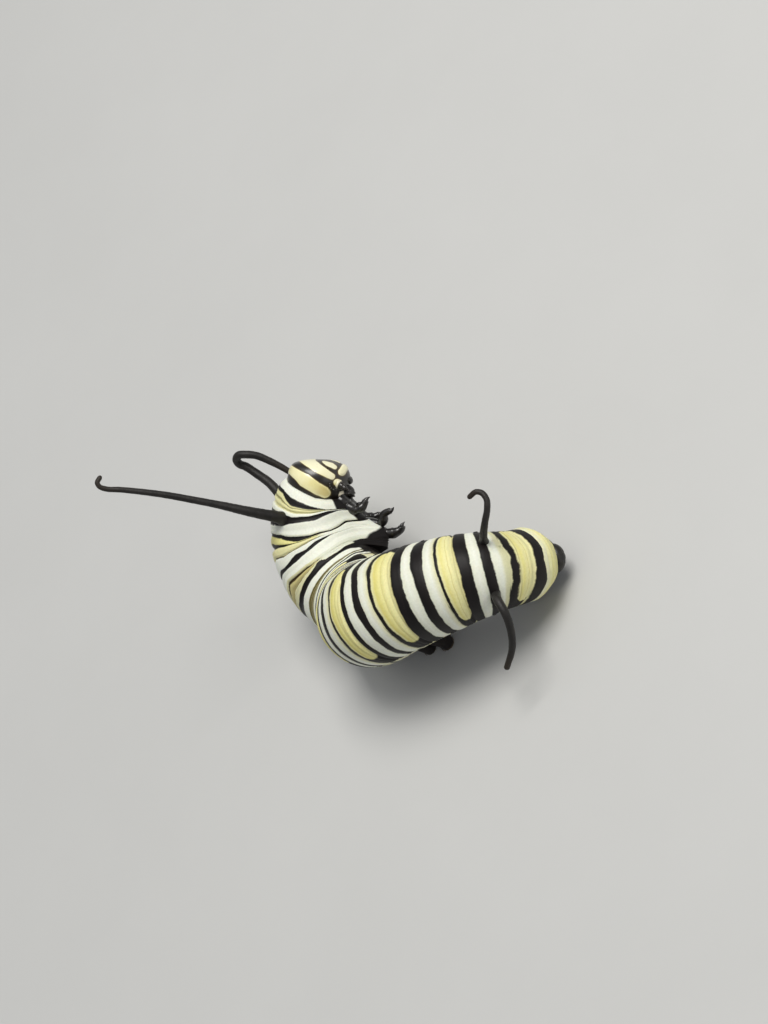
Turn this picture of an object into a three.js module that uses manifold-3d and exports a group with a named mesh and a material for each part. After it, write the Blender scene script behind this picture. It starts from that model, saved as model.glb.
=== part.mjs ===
// Monarch larva (Danaus plexippus), last instar, life size, one still pose.
// Millimetres, +Z up. The body axis runs from the head (u = 0) to the tail (u = 13):
// T1 is u 0-1, T2 1-2, T3 2-3, A1 3-4 ... A10 12-13.
import * as THREE from "three";
import * as BGU from "three/addons/utils/BufferGeometryUtils.js";
import ManifoldModule from "manifold-3d";

const wasm = await ManifoldModule();
wasm.setup();

// ---------- driving dimensions (mm, degrees) ----------
const ORIGIN = [-1.6203, -2.2184];  // plan position of the middle of the outer box
// control points of the body axis, a uniform cubic B-spline, u = -1 ... 14
const AXIS = [
  [-3.544, 5.36, 6.089], [-4.788, 3.926, 5.918], [-5.661, 2.842, 5.346], [-6.461, 0.809, 3.92],
  [-5.77, -1.402, 3.179], [-4.502, -2.865, 2.901], [-3.395, -3.814, 3.119], [-2.73, -4.764, 3.701],
  [-1.988, -5.492, 4.425], [-0.517, -5.966, 5.421], [2.501, -6.007, 5.752], [5.758, -5.708, 5.185],
  [7.323, -5.237, 3.78], [7.636, -4.544, 2.323], [7.85, -3.95, 1.05], [7.8, -3.6, -0.4],
];
// body radius at u = -1 ... 14
const RADIUS = [1.45, 1.6, 2.34, 2.757, 2.811, 2.719, 2.738, 2.866, 3.058, 3.033, 2.864, 2.569, 2.27, 2.10, 1.35, 0.95];
// the back's direction: its lean from straight up in the middle of A8, from where it is carried
// along the axis without twist, and the twist added at u = -1 ... 14
const BACK_U = 10.48, BACK_LEAN = 33;
const TWIST = [22, 20, 14, 2, -10, -16, -20, -23, -12, -2, 0, 0, 0, 0, 0, 0];
const SEGMENT_GAP = 0.035;          // share of a segment left free at each of its ends
const FOLD = 0.95;                  // radius at a fold between two segments
const SIDES = 28;                   // facets round the body
const BODY_CLEAR = 0.1;             // gap between the body and what stands on it

const HEAD_CENTRE = [-4.851, 3.661, 5.717];
const HEAD_FORWARD = [0.6541, 0.7558, -0.0249];
const HEAD_BACK_UP = [-0.5039, 0.4602, 0.7308];   // towards the crown
const HEAD_HALF = [1.46, 2.0, 1.86, 1.72];        // front, rear, crown to mouth, half width
const HEAD_CUT = 1.22;                            // rear face behind the centre
const FACE_SLOPE = [0.945, 0.29];                 // the face leans back towards the crown

const LEG_RADII = [0.46, 0.40, 0.33, 0.27, 0.25];
const FEELER_FRONT = [0.42, 0.38, 0.33, 0.29, 0.27, 0.25];
const FEELER_REAR = [0.30, 0.27, 0.25];

// centre lines of the feelers and the legs
const FRONT_RIGHT = [[-6.45, 1.37, 6.5], [-6.43, 1.15, 7.58], [-6.8, 1.12, 8.38], [-7.35, 1.18, 9.24], [-8.08, 1.34, 10.17],
  [-8.98, 1.5, 11.32], [-10.1, 1.69, 12.67], [-11.24, 1.8, 13.98], [-12.03, 1.85, 14.82], [-12.57, 1.86, 15.33],
  [-12.82, 1.96, 15.69], [-12.85, 2.16, 15.86], [-12.7, 2.4, 15.85]];
const FRONT_LEFT = [[-7.46, 3.02, 5.38], [-8.13, 3.97, 5.27], [-8.71, 4.89, 5.64], [-9.37, 5.57, 6.07], [-9.84, 6.03, 6.59],
  [-10.03, 6.12, 6.9], [-9.92, 6.24, 7.32], [-9.5, 6.29, 7.52], [-9.15, 6.25, 7.4], [-8.67, 6.06, 6.96], [-8.17, 5.74, 6.36],
  [-7.65, 5.36, 5.67], [-7.33, 5.05, 5.22]];
const REAR_RIGHT = [[7.47, -4.72, 5.93], [8.22, -4.69, 6.94], [8.98, -4.48, 7.78], [9.44, -4.0, 8.17], [9.58, -3.52, 8.39],
  [9.44, -3.16, 8.6], [9.11, -3.02, 8.75], [8.74, -3.14, 8.75]];
const REAR_LEFT = [[7.27, -7.0, 4.84], [7.86, -8.01, 5.27], [8.11, -8.63, 5.08], [8.07, -9.16, 4.61], [7.81, -9.71, 4.01],
  [7.38, -10.16, 3.47], [6.62, -10.77, 2.94]];
const LEGS = {
  leg_T1_right: [[-3.86, 2.34, 4.88], [-3.19, 1.69, 4.31], [-2.76, 1.79, 4.18], [-2.33, 2.21, 4.25]],
  leg_T2_right: [[-4.06, 1.55, 3.91], [-2.87, 1.26, 3.32], [-2.22, 1.16, 3.01], [-1.93, 1.53, 3.17], [-1.37, 1.67, 2.94]],
  leg_T3_right: [[-3.86, 0.96, 3.05], [-2.8, 0.78, 2.49], [-2.1, 0.68, 2.14], [-1.62, 0.84, 2.0], [-1.41, 1.11, 2.16]],
  leg_T1_left: [[-5.04, 3.29, 4.01], [-4.49, 2.97, 3.19], [-4.15, 2.82, 2.96], [-3.81, 2.93, 2.9]],
  leg_T2_left: [[-5.08, 2.69, 2.9], [-4.46, 2.58, 2.16], [-3.87, 2.49, 1.76], [-3.38, 2.65, 1.61]],
};
const STANDING_LEG = [[-5.6, 0.35, 1.6], [-5.42, 0.6, 0.9], [-5.3, 0.78, 0.0]];   // left leg of T3
// prolegs: segment middle u, angle from the belly line, foot reach outwards, foot height, radii at base and foot
const PROLEGS = [
  ["proleg_A3_left", 5.5, -30, 0.2, 0, 0.52, 0.42], ["proleg_A3_right", 5.25, 32, 0.25, 0, 0.50, 0.42],
  ["proleg_A4_left", 6.5, -30, 0.2, 0, 0.54, 0.42], ["proleg_A4_right", 6.35, 34, 0.1, 0.95, 0.42, 0.36],
  ["proleg_A5_left", 7.5, -30, 0.25, 0, 0.62, 0.46], ["proleg_A5_right", 7.75, 40, 0.1, 0.95, 0.46, 0.38],
  ["proleg_A6_left", 8.5, -28, 0.1, 1.25, 0.72, 0.48], ["proleg_A6_right", 8.65, 28, 0.1, 1.25, 0.70, 0.48],
  ["anal_proleg_left", 12.7, -48, -0.515, 0, 0.52, 0.46], ["anal_proleg_right", 12.7, 48, -0.515, 0, 0.52, 0.46],
];

// ---------- colours ----------
const mat = (name, color, roughness = 0.45) =>
  Object.assign(new THREE.MeshStandardMaterial({ color, roughness, metalness: 0 }), { name });
const FLESH = 0xe6e2cf, YELLOW = 0xe6d57a, BLACK = 0x17130f;

// ---------- helpers ----------
const V = (a) => new THREE.Vector3(a[0], a[1], a[2]);
const rad = THREE.MathUtils.degToRad;
const smooth = (t) => t * t * (3 - 2 * t);

function table(values, u) {                       // linear between the control values
  const x = THREE.MathUtils.clamp(u + 1, 0, values.length - 1.0001);
  const i = Math.floor(x);
  return values[i] + (values[i + 1] - values[i]) * (x - i);
}
function spline(u) {                              // point and direction on the body axis
  const i = THREE.MathUtils.clamp(Math.floor(u), 0, 12), t = u - i;
  const b = [(1 - t) ** 3, 3 * t ** 3 - 6 * t ** 2 + 4, -3 * t ** 3 + 3 * t ** 2 + 3 * t + 1, t ** 3];
  const d = [-((1 - t) ** 2), 3 * t * t - 4 * t, -3 * t * t + 2 * t + 1, t * t];
  const p = new THREE.Vector3(), q = new THREE.Vector3();
  for (let k = 0; k < 4; k++) {
    p.addScaledVector(V(AXIS[i + k]), b[k] / 6);
    q.addScaledVector(V(AXIS[i + k]), d[k] / 2);
  }
  return [p, q.normalize()];
}
const STEP = 0.01, carried = new Map();
{                                                 // carry the back's direction both ways from A8
  const [, t0] = spline(BACK_U);
  const up = new THREE.Vector3(0, 0, 1).addScaledVector(t0, -t0.z).normalize();
  const start = up.clone().multiplyScalar(Math.cos(rad(BACK_LEAN))).addScaledVector(t0.clone().cross(up), Math.sin(rad(BACK_LEAN)));
  for (const way of [1, -1]) {
    const d = start.clone();
    for (let k = Math.round(BACK_U / STEP); k >= 0 && k <= 13 / STEP; k += way) {
      const [, t] = spline(k * STEP);
      d.addScaledVector(t, -t.dot(d)).normalize();
      carried.set(k, d.clone());
    }
  }
}
function frame(u) {                               // centre, axis direction, back and left side in the section
  const [c, t] = spline(u);
  const back = carried.get(THREE.MathUtils.clamp(Math.round(u / STEP), 0, 13 / STEP)).clone();
  back.addScaledVector(t, -t.dot(back)).normalize();
  const a = rad(table(TWIST, u)), left = t.clone().cross(back);
  const dorsal = back.clone().multiplyScalar(Math.cos(a)).addScaledVector(left, Math.sin(a));
  return { c, t, dorsal, left: t.clone().cross(dorsal), r: table(RADIUS, u) };
}
function radial(f, degrees) {                     // direction in the section, from the back towards the left side
  const a = rad(degrees);
  return f.dorsal.clone().multiplyScalar(Math.cos(a)).addScaledVector(f.left, Math.sin(a));
}
function bodyRing(u, radius, n = SIDES) {
  const f = frame(u), ring = [];
  for (let k = 0; k < n; k++) ring.push(f.c.clone().addScaledVector(radial(f, (360 * k) / n), radius));
  return ring;
}
function loft(rings) {                            // closed solid through rings of equal count
  const n = rings[0].length, pos = [], idx = [];
  for (const ring of rings) for (const p of ring) pos.push(p.x, p.y, p.z);
  for (let j = 0; j + 1 < rings.length; j++)
    for (let k = 0; k < n; k++) {
      const a = j * n + k, b = j * n + ((k + 1) % n), c = a + n, d = b + n;
      idx.push(a, b, d, a, d, c);
    }
  for (const [j, flip] of [[0, true], [rings.length - 1, false]]) {
    const m = rings[j].reduce((s, p) => s.add(p), new THREE.Vector3()).divideScalar(n);
    const at = pos.length / 3;
    pos.push(m.x, m.y, m.z);
    for (let k = 0; k < n; k++) {
      const a = j * n + k, b = j * n + ((k + 1) % n);
      idx.push(...(flip ? [at, b, a] : [at, a, b]));
    }
  }
  const g = new THREE.BufferGeometry();
  g.setAttribute("position", new THREE.Float32BufferAttribute(pos, 3));
  g.setIndex(idx);
  return outward(g);
}
function outward(g) {                             // turn the faces out
  const p = g.getAttribute("position"), ix = g.getIndex().array;
  let vol = 0;
  const a = new THREE.Vector3(), b = new THREE.Vector3(), c = new THREE.Vector3();
  for (let i = 0; i < ix.length; i += 3) {
    a.fromBufferAttribute(p, ix[i]); b.fromBufferAttribute(p, ix[i + 1]); c.fromBufferAttribute(p, ix[i + 2]);
    vol += a.dot(b.cross(c));
  }
  if (vol < 0) for (let i = 0; i < ix.length; i += 3) [ix[i + 1], ix[i + 2]] = [ix[i + 2], ix[i + 1]];
  return g;
}
function circle(centre, direction, radius, n, hint = new THREE.Vector3(0, 0, 1), squash = 1) {
  const t = direction.clone().normalize();
  const e1 = hint.clone().addScaledVector(t, -hint.dot(t)).normalize(), e2 = t.clone().cross(e1);
  const ring = [];
  for (let k = 0; k < n; k++) {
    const a = (2 * Math.PI * k) / n;
    ring.push(centre.clone().addScaledVector(e1, radius * Math.cos(a)).addScaledVector(e2, radius * squash * Math.sin(a)));
  }
  return ring;
}
function tube(points, radii, steps, n, from = 0, to = 1, roundEnd = false) {   // tapering tube on a smooth curve
  const curve = new THREE.CatmullRomCurve3(points, false, "centripetal");
  const size = (s) => {
    const x = s * (radii.length - 1), i = Math.min(Math.floor(x), radii.length - 2);
    return radii[i] + (radii[i + 1] - radii[i]) * (x - i);
  };
  let hint = null;
  const rings = [];
  for (let j = 0; j <= steps; j++) {
    const s = from + ((to - from) * j) / steps;
    const t = curve.getTangentAt(s);
    if (!hint) hint = Math.abs(t.z) < 0.8 ? new THREE.Vector3(0, 0, 1) : new THREE.Vector3(1, 0, 0);
    hint = hint.clone().addScaledVector(t, -hint.dot(t)).normalize();
    rings.push(circle(curve.getPointAt(s), t, size(s), n, hint));
  }
  if (roundEnd) {
    const t = curve.getTangentAt(to), p = curve.getPointAt(to), r = size(to);
    rings.push(circle(p.clone().addScaledVector(t, r * 0.65), t, r * 0.72, n, hint));
    rings.push(circle(p.clone().addScaledVector(t, r * 0.95), t, r * 0.25, n, hint));
  }
  return loft(rings);
}
function toSolid(g) {
  let m = g.clone();
  m.deleteAttribute("normal"); m.deleteAttribute("uv");
  m = outward(BGU.mergeVertices(m, 1e-5));
  return new wasm.Manifold(new wasm.Mesh({
    numProp: 3,
    vertProperties: new Float32Array(m.getAttribute("position").array),
    triVerts: new Uint32Array(m.getIndex().array),
  }));
}
function toGeometry(solid) {
  const mesh = solid.getMesh(), g = new THREE.BufferGeometry();
  const pos = new Float32Array((mesh.vertProperties.length / mesh.numProp) * 3);
  for (let i = 0; i < pos.length / 3; i++) for (let k = 0; k < 3; k++) pos[i * 3 + k] = mesh.vertProperties[i * mesh.numProp + k];
  g.setAttribute("position", new THREE.BufferAttribute(pos, 3));
  g.setIndex(new THREE.BufferAttribute(new Uint32Array(mesh.triVerts), 1));
  return g;
}
function largest(solid) {                         // drop crumbs that a cut leaves
  const parts = solid.decompose();
  return parts.reduce((a, b) => (b.volume() > a.volume() ? b : a));
}
function bodyAround(u0, u1, extra) {              // the body with a margin, for cutting
  const rings = [];
  for (let u = u0; u <= u1 + 1e-6; u += 0.25) rings.push(bodyRing(u, table(RADIUS, u) + extra, 28));
  return toSolid(loft(rings));
}

// ---------- build ----------
const larva = new THREE.Group();
larva.name = "monarch_larva";
function put(name, geometry, material) {
  const mesh = new THREE.Mesh(geometry, material);
  mesh.name = name;
  mesh.position.set(-ORIGIN[0], -ORIGIN[1], 0);
  larva.add(mesh);
  return mesh;
}

// head capsule: an egg with its rear cut flat where the neck holds it
const fwd = V(HEAD_FORWARD).normalize();
const crown = V(HEAD_BACK_UP).addScaledVector(fwd, -V(HEAD_BACK_UP).dot(fwd)).normalize();
const right = fwd.clone().cross(crown);
const headPoint = (f, c, r) => V(HEAD_CENTRE).addScaledVector(fwd, f).addScaledVector(crown, c).addScaledVector(right, r);
function headSolid(extra) {
  const rings = [];
  const [front, rear, half, wide] = HEAD_HALF.map((v) => v + extra);
  const stations = [-HEAD_CUT - extra, -0.8, -0.35, 0.1, 0.5, 0.85, 1.12, 1.32, 1.43];
  for (const s of stations) {
    const q = s < 0 ? s / rear : s / (HEAD_HALF[0]);
    const k = Math.sqrt(Math.max(1e-3, 1 - q * q));
    const ring = [];
    for (let j = 0; j < 28; j++) {
      const a = (2 * Math.PI * j) / 28, cs = Math.cos(a), sn = Math.sin(a);
      // the crown is a little two-lobed, the mouth side narrower
      const narrow = 1 - 0.16 * Math.max(0, -cs) ** 1.5;
      const lobe = 1 - 0.05 * Math.max(0, cs) ** 8;
      const c = half * k * cs * lobe;
      const face = s > 0 ? FACE_SLOPE[0] - FACE_SLOPE[1] * c : 1;
      ring.push(headPoint(s * face + (s > 1.3 ? extra : 0), c, wide * k * sn * narrow));
    }
    rings.push(ring);
  }
  return loft(rings);
}
const mouthCut = toSolid(headSolid(BODY_CLEAR));
put("head", headSolid(0), mat("head_shell", BLACK, 0.25));

// mouth parts under the head
function egg(centre, ax, ay, az, hx, hy, hz) {     // small ellipsoid on three axes
  const g = new THREE.SphereGeometry(1, 12, 8);
  const m = new THREE.Matrix4().makeBasis(ax.clone().multiplyScalar(hx), ay.clone().multiplyScalar(hy), az.clone().multiplyScalar(hz));
  m.setPosition(centre);
  g.applyMatrix4(m);
  return toSolid(g);
}
const thorax = bodyAround(0.5, 4, BODY_CLEAR);
const jaw = (s, extra) => egg(headPoint(0.3, -1.84, 0.42 * s), fwd, crown, right, 0.42 + extra, 0.5 + extra, 0.34 + extra);
const mandible = (s) => largest(jaw(s, 0).subtract(mouthCut).subtract(thorax));
put("mandible_right", toGeometry(mandible(1)), mat("mandible", BLACK, 0.25));
put("mandible_left", toGeometry(mandible(-1)), mat("mandible", BLACK, 0.25));
const labrumBody = egg(headPoint(1.0, -1.7, 0), fwd, crown, right, 0.3, 0.42, 0.6)
  .subtract(mouthCut)
  .subtract(jaw(1, BODY_CLEAR)).subtract(jaw(-1, BODY_CLEAR));
put("labrum", toGeometry(largest(labrumBody)), mat("labrum", BLACK, 0.3));
for (const [name, s] of [["antenna_right", 1], ["antenna_left", -1]]) {
  const a = headPoint(0.4, -1.08, 1.06 * s), b = headPoint(0.42, -1.7, 1.34 * s);
  put(name, toGeometry(largest(toSolid(tube([a, a.clone().lerp(b, 0.5), b], [0.27, 0.25], 3, 10, 0, 1, true)).subtract(mouthCut).subtract(thorax))), mat("antenna", BLACK, 0.35));
}

// body segments
const NAMES = ["thorax_1", "thorax_2", "thorax_3", "abdomen_1", "abdomen_2", "abdomen_3", "abdomen_4", "abdomen_5",
  "abdomen_6", "abdomen_7", "abdomen_8", "abdomen_9", "abdomen_10"];
for (let i = 0; i < 13; i++) {
  const rings = [];
  const u0 = i === 0 ? 0.5 : i + SEGMENT_GAP, u1 = i + 1 - SEGMENT_GAP;
  const marks = i === 12 ? [0, 0.12, 0.5, 0.85, 1] : [0, 0.12, 0.5, 0.88, 1];
  for (const s of marks) {
    const u = u0 + (u1 - u0) * s;
    const edge = Math.min(s, i === 12 ? 1 : 1 - s);
    let k = FOLD + (1 - FOLD) * smooth(Math.min(1, edge / 0.12));
    if (i === 12 && s === 1) k = 0.72;
    if (i === 0 && s === 0) k = 0.86;
    rings.push(bodyRing(u, table(RADIUS, u) * k));
  }
  let g = loft(rings);
  if (i < 2) g = toGeometry(largest(toSolid(g).subtract(mouthCut)));
  put(NAMES[i], g, mat("skin_" + NAMES[i], i % 2 ? YELLOW : FLESH, 0.5));
}

// hard plate over the tail
const tail = frame(12.7);
const plateDir = radial(tail, 0);
const plate = egg(tail.c.clone().addScaledVector(plateDir, tail.r * 0.72),
  tail.t, radial(tail, 90), plateDir, 0.55, 0.85, 0.8).subtract(bodyAround(11.5, 13, BODY_CLEAR));
put("anal_plate", toGeometry(largest(plate)), mat("plate", BLACK, 0.25));

// jointed legs of the thorax
for (const [name, line] of Object.entries(LEGS)) {
  const solid = toSolid(tube(line.map(V), LEG_RADII, 6, 10, 0, 1, true)).subtract(thorax).subtract(mouthCut)
    .subtract(jaw(1, BODY_CLEAR)).subtract(jaw(-1, BODY_CLEAR));
  put(name, toGeometry(largest(solid)), mat("leg", BLACK, 0.3));
}
{
  const [a, b, c] = STANDING_LEG.map(V);
  const down = new THREE.Vector3(0, 0, -1), hint = new THREE.Vector3(1, 0, 0);
  const rings = [circle(a, b.clone().sub(a), 0.46, 12, hint), circle(b, c.clone().sub(a), 0.38, 12, hint),
    circle(c.clone().setZ(0.3), down, 0.29, 12, hint), circle(c.clone().setZ(0), down, 0.26, 12, hint)];
  put("leg_T3_left", toGeometry(largest(toSolid(loft(rings)).subtract(thorax))), mat("leg", BLACK, 0.3));
}

// fleshy legs of the abdomen, each foot a small flat
for (const [name, u, offset, reach, z, rBase, rFoot] of PROLEGS) {
  const f = frame(u), dir = radial(f, 180 + offset);
  const base = f.c.clone().addScaledVector(dir, f.r * 0.72);
  const edge = f.c.clone().addScaledVector(dir, f.r * 1.0);
  const out = new THREE.Vector3(dir.x, dir.y, 0);
  const foot = z > 0 ? edge.clone().addScaledVector(dir, z).add(new THREE.Vector3(0, 0, -0.15)) : edge.clone().addScaledVector(out, reach).setZ(0);
  const along = z > 0 ? dir.clone() : new THREE.Vector3(0, 0, -1);
  const mid = edge.clone().lerp(foot, 0.55);
  const hint = f.t;
  const rings = [circle(base, dir, rBase * 1.08, 12, hint), circle(edge, dir.clone().lerp(along, 0.35), rBase * 1.02, 12, hint),
    circle(mid, dir.clone().lerp(along, 0.8), (rBase + rFoot) / 2, 12, hint), circle(foot, along, rFoot, 12, hint)];
  const solid = toSolid(loft(rings)).subtract(bodyAround(Math.max(0, u - 1.5), Math.min(13, u + 1.5), BODY_CLEAR));
  put(name, toGeometry(largest(solid)), mat("proleg", 0x4a4034, 0.5));
}

// feelers in lengths: the base length is cut to the body
function feeler(prefix, line, radii, cuts, steps, cutter) {
  const pts = line.map(V);
  const names = ["base", "middle", "tip", "end"];
  for (let i = 0; i + 1 < cuts.length; i++) {
    const last = i + 2 === cuts.length;
    let g = tube(pts, radii, steps[i], 8, cuts[i] + (i ? 0.006 : 0), cuts[i + 1] - (last ? 0 : 0.006), last);
    if (i < 2) g = toGeometry(largest(toSolid(g).subtract(cutter)));
    put(prefix + "_" + (last ? "tip" : names[i]), g, mat("feeler", BLACK, 0.4));
  }
}
feeler("tentacle_front_right", FRONT_RIGHT, FEELER_FRONT, [0, 0.35, 0.82, 1], [4, 5, 8], thorax);
feeler("tentacle_front_left", FRONT_LEFT, FEELER_FRONT, [0, 0.42, 0.62, 1], [6, 8, 5], thorax);
const rump = bodyAround(8.5, 12.5, BODY_CLEAR);
feeler("tentacle_rear_right", REAR_RIGHT, FEELER_REAR, [0, 0.6, 1], [5, 8], rump);
feeler("tentacle_rear_left", REAR_LEFT, FEELER_REAR, [0, 0.5, 1], [5, 6], rump);

export default larva;
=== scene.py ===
# Monarch larva (Danaus plexippus), last instar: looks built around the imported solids.
# Metres in Blender. The body functions below work in the solids' own millimetres, and OFFSET
# moves them into the row frame.
import math

import bmesh
import bpy
import numpy as np
from mathutils import Matrix, Vector, noise


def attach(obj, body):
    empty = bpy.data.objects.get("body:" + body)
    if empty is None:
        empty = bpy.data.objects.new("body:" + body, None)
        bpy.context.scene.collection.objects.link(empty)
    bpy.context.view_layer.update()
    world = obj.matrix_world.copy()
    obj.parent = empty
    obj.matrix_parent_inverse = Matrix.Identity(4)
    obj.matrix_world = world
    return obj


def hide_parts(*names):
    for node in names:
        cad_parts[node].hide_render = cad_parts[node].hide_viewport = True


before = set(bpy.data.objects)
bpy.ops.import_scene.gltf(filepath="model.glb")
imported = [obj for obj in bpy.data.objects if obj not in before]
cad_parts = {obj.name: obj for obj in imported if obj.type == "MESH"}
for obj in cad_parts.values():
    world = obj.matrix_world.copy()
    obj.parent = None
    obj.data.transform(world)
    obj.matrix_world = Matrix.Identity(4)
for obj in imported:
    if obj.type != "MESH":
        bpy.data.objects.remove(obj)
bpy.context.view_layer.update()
rng = np.random.default_rng(7)

OFFSET = np.array([1.6203, 2.2184, 0.0])

# ---------------------------------------------------------------- camera
CAM_POS = np.array([95.872, -79.145, 121.462])
CAM_R = np.array([[0.77068, 0.29666, 0.56395], [0.0, 0.88502, -0.46556], [-0.63722, 0.35879, 0.68206]])
cam_data = bpy.data.cameras.new("camera")
cam_data.lens = 104.59
cam_data.sensor_width = 36.0
cam_data.clip_start, cam_data.clip_end = 0.005, 5.0
cam = bpy.data.objects.new("camera", cam_data)
bpy.context.scene.collection.objects.link(cam)
cam_m = Matrix.Identity(4)
for i in range(3):
    for j in range(3):
        cam_m[i][j] = CAM_R[i][j]
    cam_m[i][3] = (CAM_POS[i] + OFFSET[i]) * 0.001
cam.matrix_world = cam_m
bpy.context.scene.camera = cam
bpy.context.scene.view_settings.view_transform = "Standard"

# ---------------------------------------------------------------- body axis
AXIS = np.array([
    [-3.544, 5.36, 6.089], [-4.788, 3.926, 5.918], [-5.661, 2.842, 5.346], [-6.461, 0.809, 3.92],
    [-5.77, -1.402, 3.179], [-4.502, -2.865, 2.901], [-3.395, -3.814, 3.119], [-2.73, -4.764, 3.701],
    [-1.988, -5.492, 4.425], [-0.517, -5.966, 5.421], [2.501, -6.007, 5.752], [5.758, -5.708, 5.185],
    [7.323, -5.237, 3.78], [7.636, -4.544, 2.323], [7.85, -3.95, 1.05], [7.8, -3.6, -0.4]])
RADIUS = np.array([1.45, 1.6, 2.34, 2.757, 2.811, 2.719, 2.738, 2.866, 3.058, 3.033, 2.864, 2.569, 2.27, 2.10, 1.35, 0.95])
BACK_U, BACK_LEAN = 10.48, 33.0
TWIST = np.array([22, 20, 14, 2, -10, -16, -20, -23, -12, -2, 0, 0, 0, 0, 0, 0], float)


def unit(v):
    return v / np.linalg.norm(v, axis=-1, keepdims=True)


def spline(u):
    u = np.asarray(u, float)
    i = np.clip(np.floor(u).astype(int), 0, 12)
    t = u - i
    b = np.stack([(1 - t) ** 3, 3 * t ** 3 - 6 * t ** 2 + 4, -3 * t ** 3 + 3 * t ** 2 + 3 * t + 1, t ** 3], -1) / 6
    d = np.stack([-(1 - t) ** 2, 3 * t * t - 4 * t, -3 * t * t + 2 * t + 1, t * t], -1) / 2
    p = AXIS[i[..., None] + np.arange(4)]
    q = (d[..., None] * p).sum(-2)
    speed = np.linalg.norm(q, axis=-1)
    return (b[..., None] * p).sum(-2), q / speed[..., None], speed


def tab(values, u):
    return np.interp(np.asarray(u, float) + 1, np.arange(len(values)), values)


_t = spline(np.arange(1301) * 0.01)[1]
_back = np.zeros((1301, 3))
_t0 = spline(np.array([BACK_U]))[1][0]
_up = unit(np.array([0, 0, 1.0]) - _t0 * _t0[2])
_start = math.cos(math.radians(BACK_LEAN)) * _up + math.sin(math.radians(BACK_LEAN)) * np.cross(_t0, _up)
for way in (1, -1):
    _d, k = _start.copy(), 1048
    while 0 <= k <= 1300:
        _d = unit(_d - _t[k] * (_t[k] @ _d))
        _back[k] = _d
        k += way


def body_frame(u):
    """centre, axis direction, back and left side of the section, radius, speed"""
    u = np.asarray(u, float)
    c, t, speed = spline(u)
    x = np.clip(u / 0.01, 0, 1300 - 1e-6)
    i = x.astype(int)
    f = (x - i)[..., None]
    b = _back[i] * (1 - f) + _back[i + 1] * f
    b = unit(b - t * (t * b).sum(-1, keepdims=True))
    a = np.radians(tab(TWIST, u))[..., None]
    d = b * np.cos(a) + np.cross(t, b) * np.sin(a)
    return c, t, d, np.cross(t, d), tab(RADIUS, u), speed


def radial(u, deg):
    """point on the axis, outward direction at that angle from the back, axis direction, radius"""
    c, t, d, left, r, _ = body_frame(np.array([u]))
    a = math.radians(deg)
    return c[0], math.cos(a) * d[0] + math.sin(a) * left[0], t[0], r[0]


def smooth(x):
    x = np.clip(x, 0, 1)
    return x * x * (3 - 2 * x)


def bump(x, width):
    return np.exp(-(x / width) ** 2)


# ---------------------------------------------------------------- mesh helpers
def make_object(name, verts, faces, smooth_shade=True, attributes=None):
    me = bpy.data.meshes.new(name)
    me.from_pydata((np.asarray(verts) + OFFSET).tolist() if verts is not None else [], [], faces)
    me.transform(Matrix.Scale(0.001, 4))
    if attributes:
        for key, values in attributes.items():
            at = me.attributes.new(key, "FLOAT", "POINT")
            at.data.foreach_set("value", np.asarray(values, np.float32))
    me.validate()
    me.update()
    if smooth_shade:
        me.polygons.foreach_set("use_smooth", [True] * len(me.polygons))
    ob = bpy.data.objects.new(name, me)
    bpy.context.scene.collection.objects.link(ob)
    return ob


class Mesh:
    """collects points, faces and per-point values of one piece"""

    def __init__(self):
        self.v, self.f, self.a, self.n = [], [], {}, 0

    def add(self, verts, faces, **attrs):
        verts = np.asarray(verts, float)
        self.v.append(verts)
        self.f += [tuple(int(i) + self.n for i in f) for f in faces]
        for key, val in attrs.items():
            self.a.setdefault(key, []).append(np.broadcast_to(np.asarray(val, float), (len(verts),)))
        self.n += len(verts)

    def build(self, name, flat=False):
        return make_object(name, np.concatenate(self.v), self.f, not flat, {k: np.concatenate(v) for k, v in self.a.items()})


def ring_faces(rows, cols, cap_start=True, cap_end=True):
    """quads of a closed tube of rows x cols points, with a centre point for each cap at the end of the list"""
    faces = []
    for j in range(rows - 1):
        for k in range(cols):
            a, b = j * cols + k, j * cols + (k + 1) % cols
            faces.append((a, b, b + cols, a + cols))
    at = rows * cols
    if cap_start:
        faces += [(at, (k + 1) % cols, k) for k in range(cols)]
        at += 1
    if cap_end:
        base = (rows - 1) * cols
        faces += [(at, base + k, base + (k + 1) % cols) for k in range(cols)]
    return faces


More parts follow.
